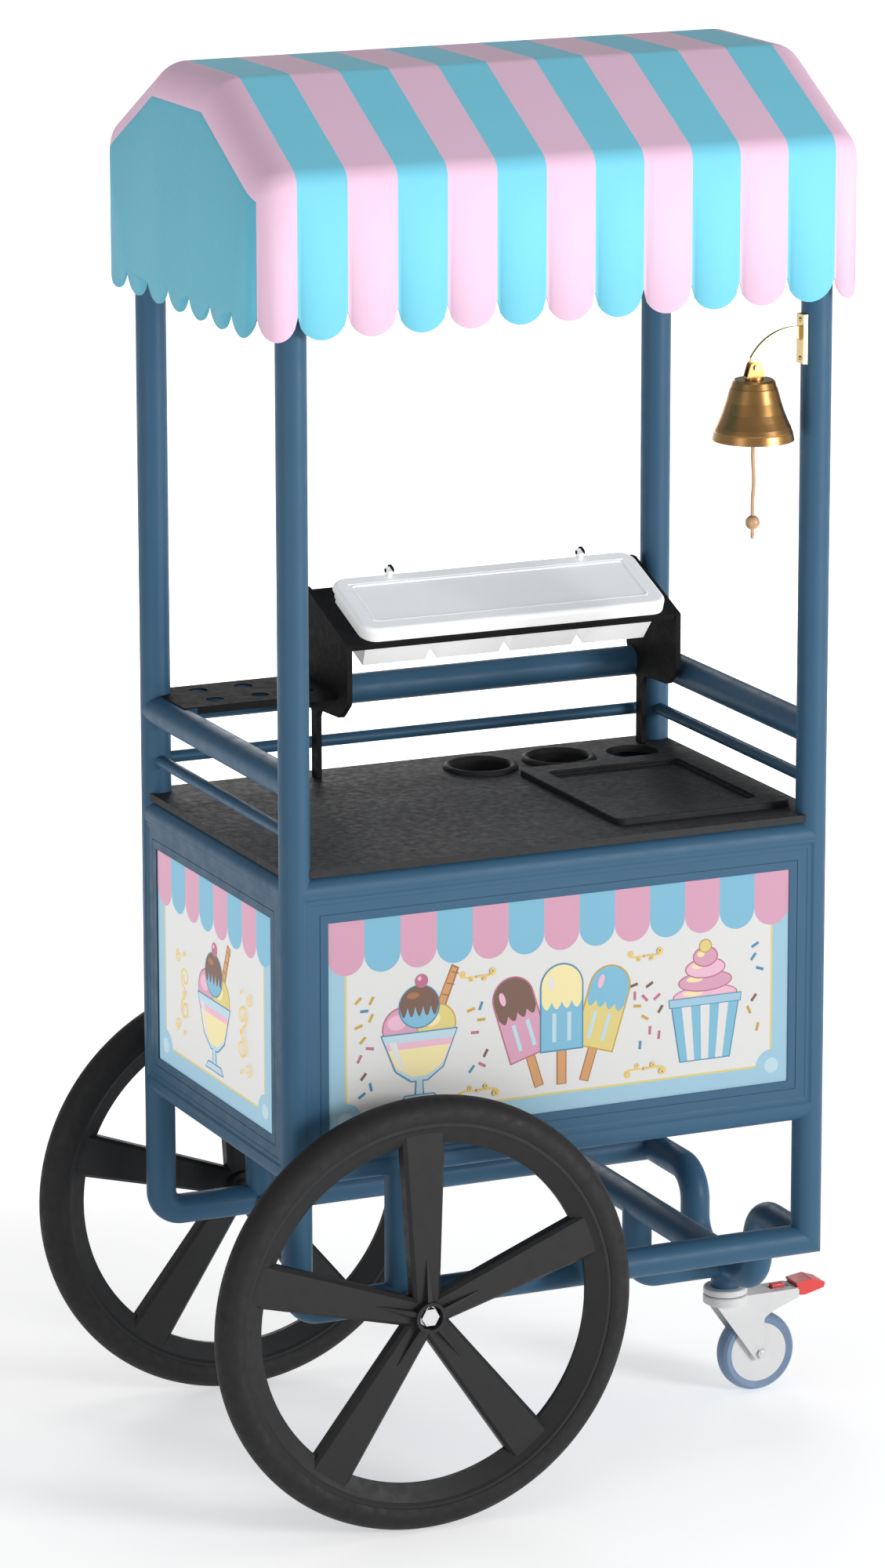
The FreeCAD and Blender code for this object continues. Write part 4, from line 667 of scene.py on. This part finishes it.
def short_board(name, turn):
    # The end boards take the glowing inks: their prints carry painted light against the end panels' shade
    b = base_board(name, 216, BOARD_LOW, BOARD_HIGH, 8, 0 if turn < 0 else 1, "side_")
    sundae(b, 0, 700, 1.26)
    b.layer = b.base
    for s in (-1, 1):
        for rise in (1, -1):
            b.band(spiral(s * 112, 706 + rise * 24, 17, 1.4, -rise * math.pi / 2, s * rise), 3.4, "line")
            b.band(spiral(s * 136, 706 + rise * 52, 10, 1.3, rise * math.pi / 2, -s * rise), 2.8, "line")
        b.add(ring(s * 112, 706, 5), "line")
        b.add(ring(s * 112, 706 + 60, 3.8), "line")
        b.add(ring(s * 112, 706 - 60, 3.8), "line")
    return b.finish(turn, SHORT_FACE - BOARD_SINK)


long_board("print_front", 0)
long_board("print_rear", 180)
short_board("print_left", -90)
short_board("print_right", 90)

# ---- small trim ----------------------------------------------------------------------
RACK_Y, RACK_Z, RACK_TILT = 107 * MM, 1207 * MM, math.radians(20.9)


def lid_bead():
    """Raised rounded bead that runs round the lid's flat top."""
    x0, x1, y0, y1, top, r = -114.5, 334.5, 28.5, 127.5, 19.8, 8.0
    path = []
    for cx, cy, a0 in ((x1 - r, y1 - r, 0), (x0 + r, y1 - r, 90), (x0 + r, y0 + r, 180), (x1 - r, y0 + r, 270)):
        path += ring(cx, cy, r, None, a0, a0 + 90, 8)
    bm = bmesh.new()
    loops = []
    count = len(path)
    for i, p in enumerate(path):
        a, c = path[i - 1], path[(i + 1) % count]
        d = Vector((c[0] - a[0], c[1] - a[1])).normalized()
        n = Vector((d.y, -d.x))
        loop = []
        for k in range(9):
            t = math.pi * k / 8
            off, lift = 2.6 * math.cos(t), 2.1 * math.sin(t)
            loop.append(bm.verts.new(((p[0] + n.x * off) * MM, (p[1] + n.y * off) * MM, (top + lift) * MM)))
        loops.append(loop)
    for i in range(count):
        a, c = loops[i], loops[(i + 1) % count]
        for k in range(8):
            bm.faces.new((a[k], a[k + 1], c[k + 1], c[k]))
        bm.faces.new((a[8], a[0], c[0], c[8]))
    bmesh.ops.recalc_face_normals(bm, faces=bm.faces[:])
    # The bead's white plastic glows, painted light like the lid it sits on
    obj = mesh_object("lid_bead", bm, ["white_plastic"])
    obj.data.transform(Matrix.Translation((0, RACK_Y, RACK_Z)) @ Matrix.Rotation(RACK_TILT, 4, "X"))
    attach(obj, "lid")


lid_bead()

# ---- stage and light -----------------------------------------------------------------
bm = bmesh.new()
bmesh.ops.create_grid(bm, x_segments=2, y_segments=2, size=30.0)
SKY = 0.31
floor_mat = Mat("floor", srgb(250, 250, 250), 0.9)
floor_mat.set("Emission Color", (1.0, 1.0, 1.0, 1.0))
far = floor_mat.new("ShaderNodeVectorMath", operation="LENGTH")
floor_mat.link(floor_mat.new("ShaderNodeTexCoord").outputs["Object"], far.inputs[0])
floor_mat.link(floor_mat.ramp(far.outputs["Value"], 1.2, 4.5, 0.42, 1.0), floor_mat.bsdf.inputs["Emission Strength"])
floor_mat.mottle(floor_mat.noise(0.6), 0.1, (0.98, 0.98, 0.98))
MATS["floor"] = floor_mat.mat
ground = mesh_object("ground", bm, ["floor"])
ground.location.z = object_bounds()[0][2] - 0.0002

world = bpy.data.worlds.new("world")
scene.world = world
world.use_nodes = True
wt = world.node_tree
back = wt.nodes["Background"]
back.inputs["Color"].default_value = (1, 1, 1, 1)
back.inputs["Strength"].default_value = SKY
seen = wt.nodes.new("ShaderNodeBackground")
seen.inputs["Color"].default_value = (1, 1, 1, 1)
seen.inputs["Strength"].default_value = 1.0
path = wt.nodes.new("ShaderNodeLightPath")
mix = wt.nodes.new("ShaderNodeMixShader")
wt.links.new(path.outputs["Is Camera Ray"], mix.inputs[0])
wt.links.new(back.outputs["Background"], mix.inputs[1])
wt.links.new(seen.outputs["Background"], mix.inputs[2])
wt.links.new(mix.outputs["Shader"], wt.nodes["World Output"].inputs["Surface"])


def area(name, loc, aim_at, size, power):
    light = bpy.data.lights.new(name, "AREA")
    light.shape = "RECTANGLE"
    light.size, light.size_y = size
    light.energy = power
    obj = bpy.data.objects.new(name, light)
    scene.collection.objects.link(obj)
    obj.location = loc
    obj.rotation_euler = (Vector(aim_at) - Vector(loc)).to_track_quat("-Z", "Y").to_euler()


area("key", (4.0, -6.2, 2.1), (0, 0, 1.1), (2.2, 2.0), 350)
area("fill", (-6.0, -3.4, 1.6), (0, 0, 1.0), (3.0, 3.0), 60)
area("top", (0.3, 0.2, 6.5), (0, 0, 1.0), (4.0, 4.0), 40)
area("rear", (1.5, 6.5, 2.6), (0, 0, 1.0), (3.0, 3.0), 90)
scene.view_settings.view_transform = "Standard"
